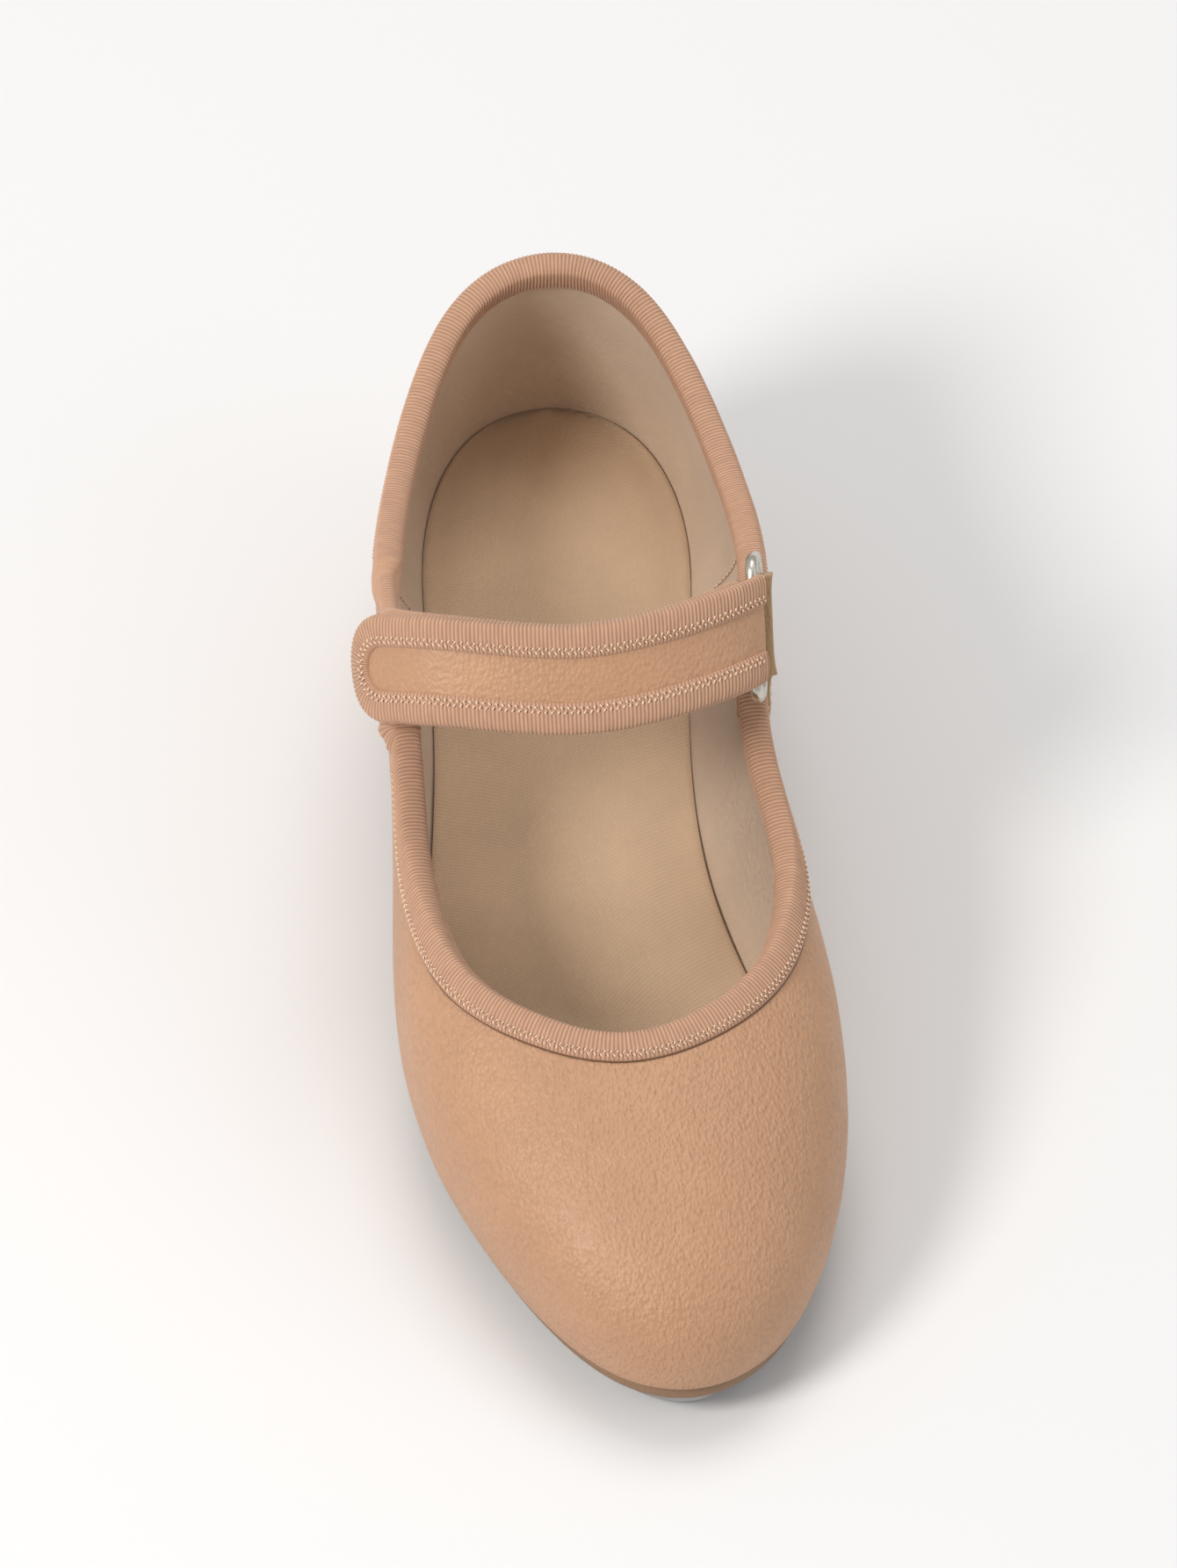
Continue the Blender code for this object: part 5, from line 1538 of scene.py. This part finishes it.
def build_heel(finishes):
    """Leather-covered heel block, rubber lift and heel tap with its screws."""
    lift_top = TAP + GAP + HEEL_LIFT
    heights = np.linspace(HEEL_HEIGHT - GAP, lift_top + 0.05, 12)
    fall = (heights[0] - heights) / (heights[0] - heights[-1])
    inset = 0.6 + (HEEL_TAPER + 0.2) * (1 - (1 - fall) ** 1.8)
    places = [(0, 111), (15, 83), (-16, 83)]
    holes = build_screws("heel_tap", places, 0.15 - HEEL_HEIGHT, HEEL_SCREW_LENGTH, finishes)
    block = heel_part("heel_block_cover", list(zip(inset, heights)), finishes["heel_cover"], 0.35)
    put(block, "shoe", "heel_cover", "heel_block")
    levels = [(HEEL_TAPER + 0.8, lift_top), (HEEL_TAPER + 0.85, 4.8), (HEEL_TAPER + 1.0, TAP + 0.05)]
    lift = heel_part("heel_lift_rubber", levels, finishes["rubber"], 0.3)
    put(cut_away(lift, holes[0::2]), "shoe", "rubber", "heel_lift")
    levels = [(HEEL_TAP_INSET, TAP), (HEEL_TAP_INSET, 0.0)]
    tap = heel_part("heel_tap_plate", levels, finishes["aluminium"], 0.7)
    put(cut_away(tap, holes[1::2]), "shoe", "aluminium", "heel_tap")


# ---------------------------------------------------------------- the sock


def sock_edge(u, height):
    """Where the lining's inner face stands height mm above the insole board, all round."""
    length = wall_length(u)[:, None]
    reach = SOCK_LIFT - SOLE - 1.5 * GAP + height
    return wall(u, reach / length, LINING_OUT - LINING - 0.35)[:, 0]


def build_sock(finishes):
    """The foam-backed sock: it fills the floor of the shoe to the lining and cups up at its edge."""
    fine = np.arange(0, 721) / 1440
    right, left = sock_edge(fine, SOCK), sock_edge(-fine, SOCK)
    rows, columns = 100, 33
    share = 0.5 - 0.5 * np.cos(np.linspace(0, math.pi, rows))
    y = right[0, 1] + (right[-1, 1] - right[0, 1]) * (0.0004 + 0.9992 * share)
    x_right, x_left = np.interp(y, right[:, 1], right[:, 0]), np.interp(y, left[:, 1], left[:, 0])
    across = np.linspace(0, 1, columns)
    grid_x = x_right[:, None] + (x_left - x_right)[:, None] * across
    grid_y = np.repeat(y[:, None], columns, 1)
    end = np.clip(np.minimum(share, 1 - share) * 2 * 9, 0, 1)[:, None]
    rim = np.maximum(np.abs(2 * across - 1)[None, :] ** 6, 1 - end**0.5)
    top = sole_point(grid_x, grid_y, SOCK_LIFT + SOCK - 0.3 + 0.9 * rim)
    bottom = sole_point(grid_x * 0.985, grid_y, SOCK_LIFT + 0.3 * rim)
    sock = shell("sock_liner_padded", top, bottom, finishes["sock"], rim=0.0)
    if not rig.quick():
        puff(sock, rim_width=5.0)
    sock.modifiers.new("smooth", "SUBSURF").levels = 1
    sock.modifiers["smooth"].render_levels = 1
    put(baked(sock), "shoe", "cotton_lining", "sock_liner")
    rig.padded(sock, fill=0.35)


def puff(obj, rim_width, cap=1.6):
    """Inflates the pad's upper face with cloth simulation, its underside and edge held still."""
    rest = np.array([v.co for v in obj.data.vertices], float)
    held = obj.vertex_groups.new(name="held")
    up = np.array([v.normal.z for v in obj.data.vertices])
    edge_u = np.arange(720) / 720
    border = (sock_edge(edge_u, SOCK) + CENTRE_SHIFT)[:, :2] * MM
    reach = np.array([np.hypot(*(border - p[:2]).T).min() for p in rest])
    for i in range(len(rest)):
        if up[i] < 0.3 or reach[i] < rim_width * MM * 0.35:
            held.add([i], 1.0, "REPLACE")
    cloth = obj.modifiers.new("cloth", "CLOTH")
    settings = cloth.settings
    settings.vertex_group_mass = "held"
    settings.use_pressure = True
    settings.uniform_pressure_force = 3.0
    settings.tension_stiffness = settings.compression_stiffness = 25
    settings.bending_stiffness = 2.0
    settings.effector_weights.gravity = 0
    settings.quality = 6
    scene = bpy.context.scene
    for step in range(1, 16):
        scene.frame_set(step)
    graph = bpy.context.evaluated_depsgraph_get()
    moved = np.array([v.co for v in obj.evaluated_get(graph).data.vertices], float)
    obj.modifiers.clear()
    scene.frame_set(1)
    shift = moved - rest
    size = np.linalg.norm(shift, axis=1, keepdims=True)
    shift *= np.minimum(1, cap * MM / np.maximum(size, 1e-9))
    obj.data.vertices.foreach_set("co", (rest + shift).astype(np.float32).ravel())
    obj.data.update()


# ---------------------------------------------------------------- stage


def paint_kept_nodes(finishes):
    """Finishes on the CAD nodes that stay: the hidden boards, shank, filler, stiffeners and seat screw."""
    for node, finish in (
        ("insole_board", "board"),
        ("shank", "steel"),
        ("forepart_filler", "cork"),
        ("heel_seat_screw", "steel"),
        ("toe_puff", "fibre"),
        ("heel_counter", "fibre"),
    ):
        obj = frame["nodes"][node]
        if not obj.material_slots:
            obj.data.materials.append(None)
        for slot in obj.material_slots:
            slot.material = finishes[finish]


def build_stage():
    """A pale floor, and soft lights of which the strongest stands to the left."""
    half = 6.0
    corners = [(-half, -half, 0), (half, -half, 0), (half, half, 0), (-half, half, 0)]
    mesh = bpy.data.meshes.new("floor")
    mesh.from_pydata(corners, [], [(0, 1, 2, 3)])
    floor = bpy.data.objects.new("floor", mesh)
    bpy.context.scene.collection.objects.link(floor)
    paper = Finish("floor_paper", 0.85, Specular_IOR_Level=0.15)
    mesh.materials.append(paper.done((0.86, 0.86, 0.86)))
    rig.stage(floor)

    world = bpy.data.worlds.new("studio")
    bpy.context.scene.world = world
    world.use_nodes = True
    world.node_tree.nodes["Background"].inputs[0].default_value = (1.0, 0.99, 0.98, 1)
    world.node_tree.nodes["Background"].inputs[1].default_value = 0.5
    for name, place, size, power, colour in (
        ("key", (-1.1, -0.7, 1.2), 0.55, 16.0, (1.0, 0.97, 0.94)),
        ("fill", (1.2, -0.5, 0.9), 1.0, 2.0, (0.95, 0.97, 1.0)),
        ("top", (0.1, 0.5, 1.5), 0.9, 7.0, (1.0, 1.0, 1.0)),
    ):
        light = bpy.data.lights.new(name, "AREA")
        light.shape = "DISK"
        light.size = size
        light.energy = power
        light.color = colour
        lamp = bpy.data.objects.new(name, light)
        lamp.location = place
        lamp.rotation_euler = (Vector((0, 0, 0.04)) - Vector(place)).to_track_quat("-Z", "Y").to_euler()
        bpy.context.scene.collection.objects.link(lamp)


def build_camera(low, high):
    """A long lens, looking down at the toe from in front and a little to the outer side."""
    azimuth, elevation, distance = math.radians(-4), math.radians(48), 2.5
    centre = (low + high) / 2
    level = math.cos(elevation)
    away = Vector((math.sin(azimuth) * level, -math.cos(azimuth) * level, math.sin(elevation)))
    data = bpy.data.cameras.new("camera")
    data.lens = 300
    camera = bpy.data.objects.new("camera", data)
    camera.location = centre + away * distance
    camera.rotation_euler = (-away).to_track_quat("-Z", "Y").to_euler()
    bpy.context.scene.collection.objects.link(camera)
    bpy.context.scene.camera = camera
    bpy.context.scene.view_settings.view_transform = "Standard"


def main():
    """Builds every piece, the stage and the camera."""
    finishes = all_finishes()
    build_vamp(finishes)
    build_quarters(finishes)
    build_back_strip(finishes)
    build_linings(finishes)
    build_edge_band(finishes)
    build_topline_binding(finishes)
    build_lower_strap(finishes)
    build_upper_strap(finishes)
    build_patches(finishes)
    build_ring(finishes)
    build_fold(finishes)
    build_tab(finishes)
    build_sole(finishes)
    build_heel(finishes)
    build_sock(finishes)
    paint_kept_nodes(finishes)
    build_stage()
    build_camera(cad_low, cad_high)


main()
low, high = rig.bounds()
with open("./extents.json", "w") as size_file:
    json.dump({"cad": [list(cad_low), list(cad_high)], "visual": [list(low), list(high)]}, size_file)
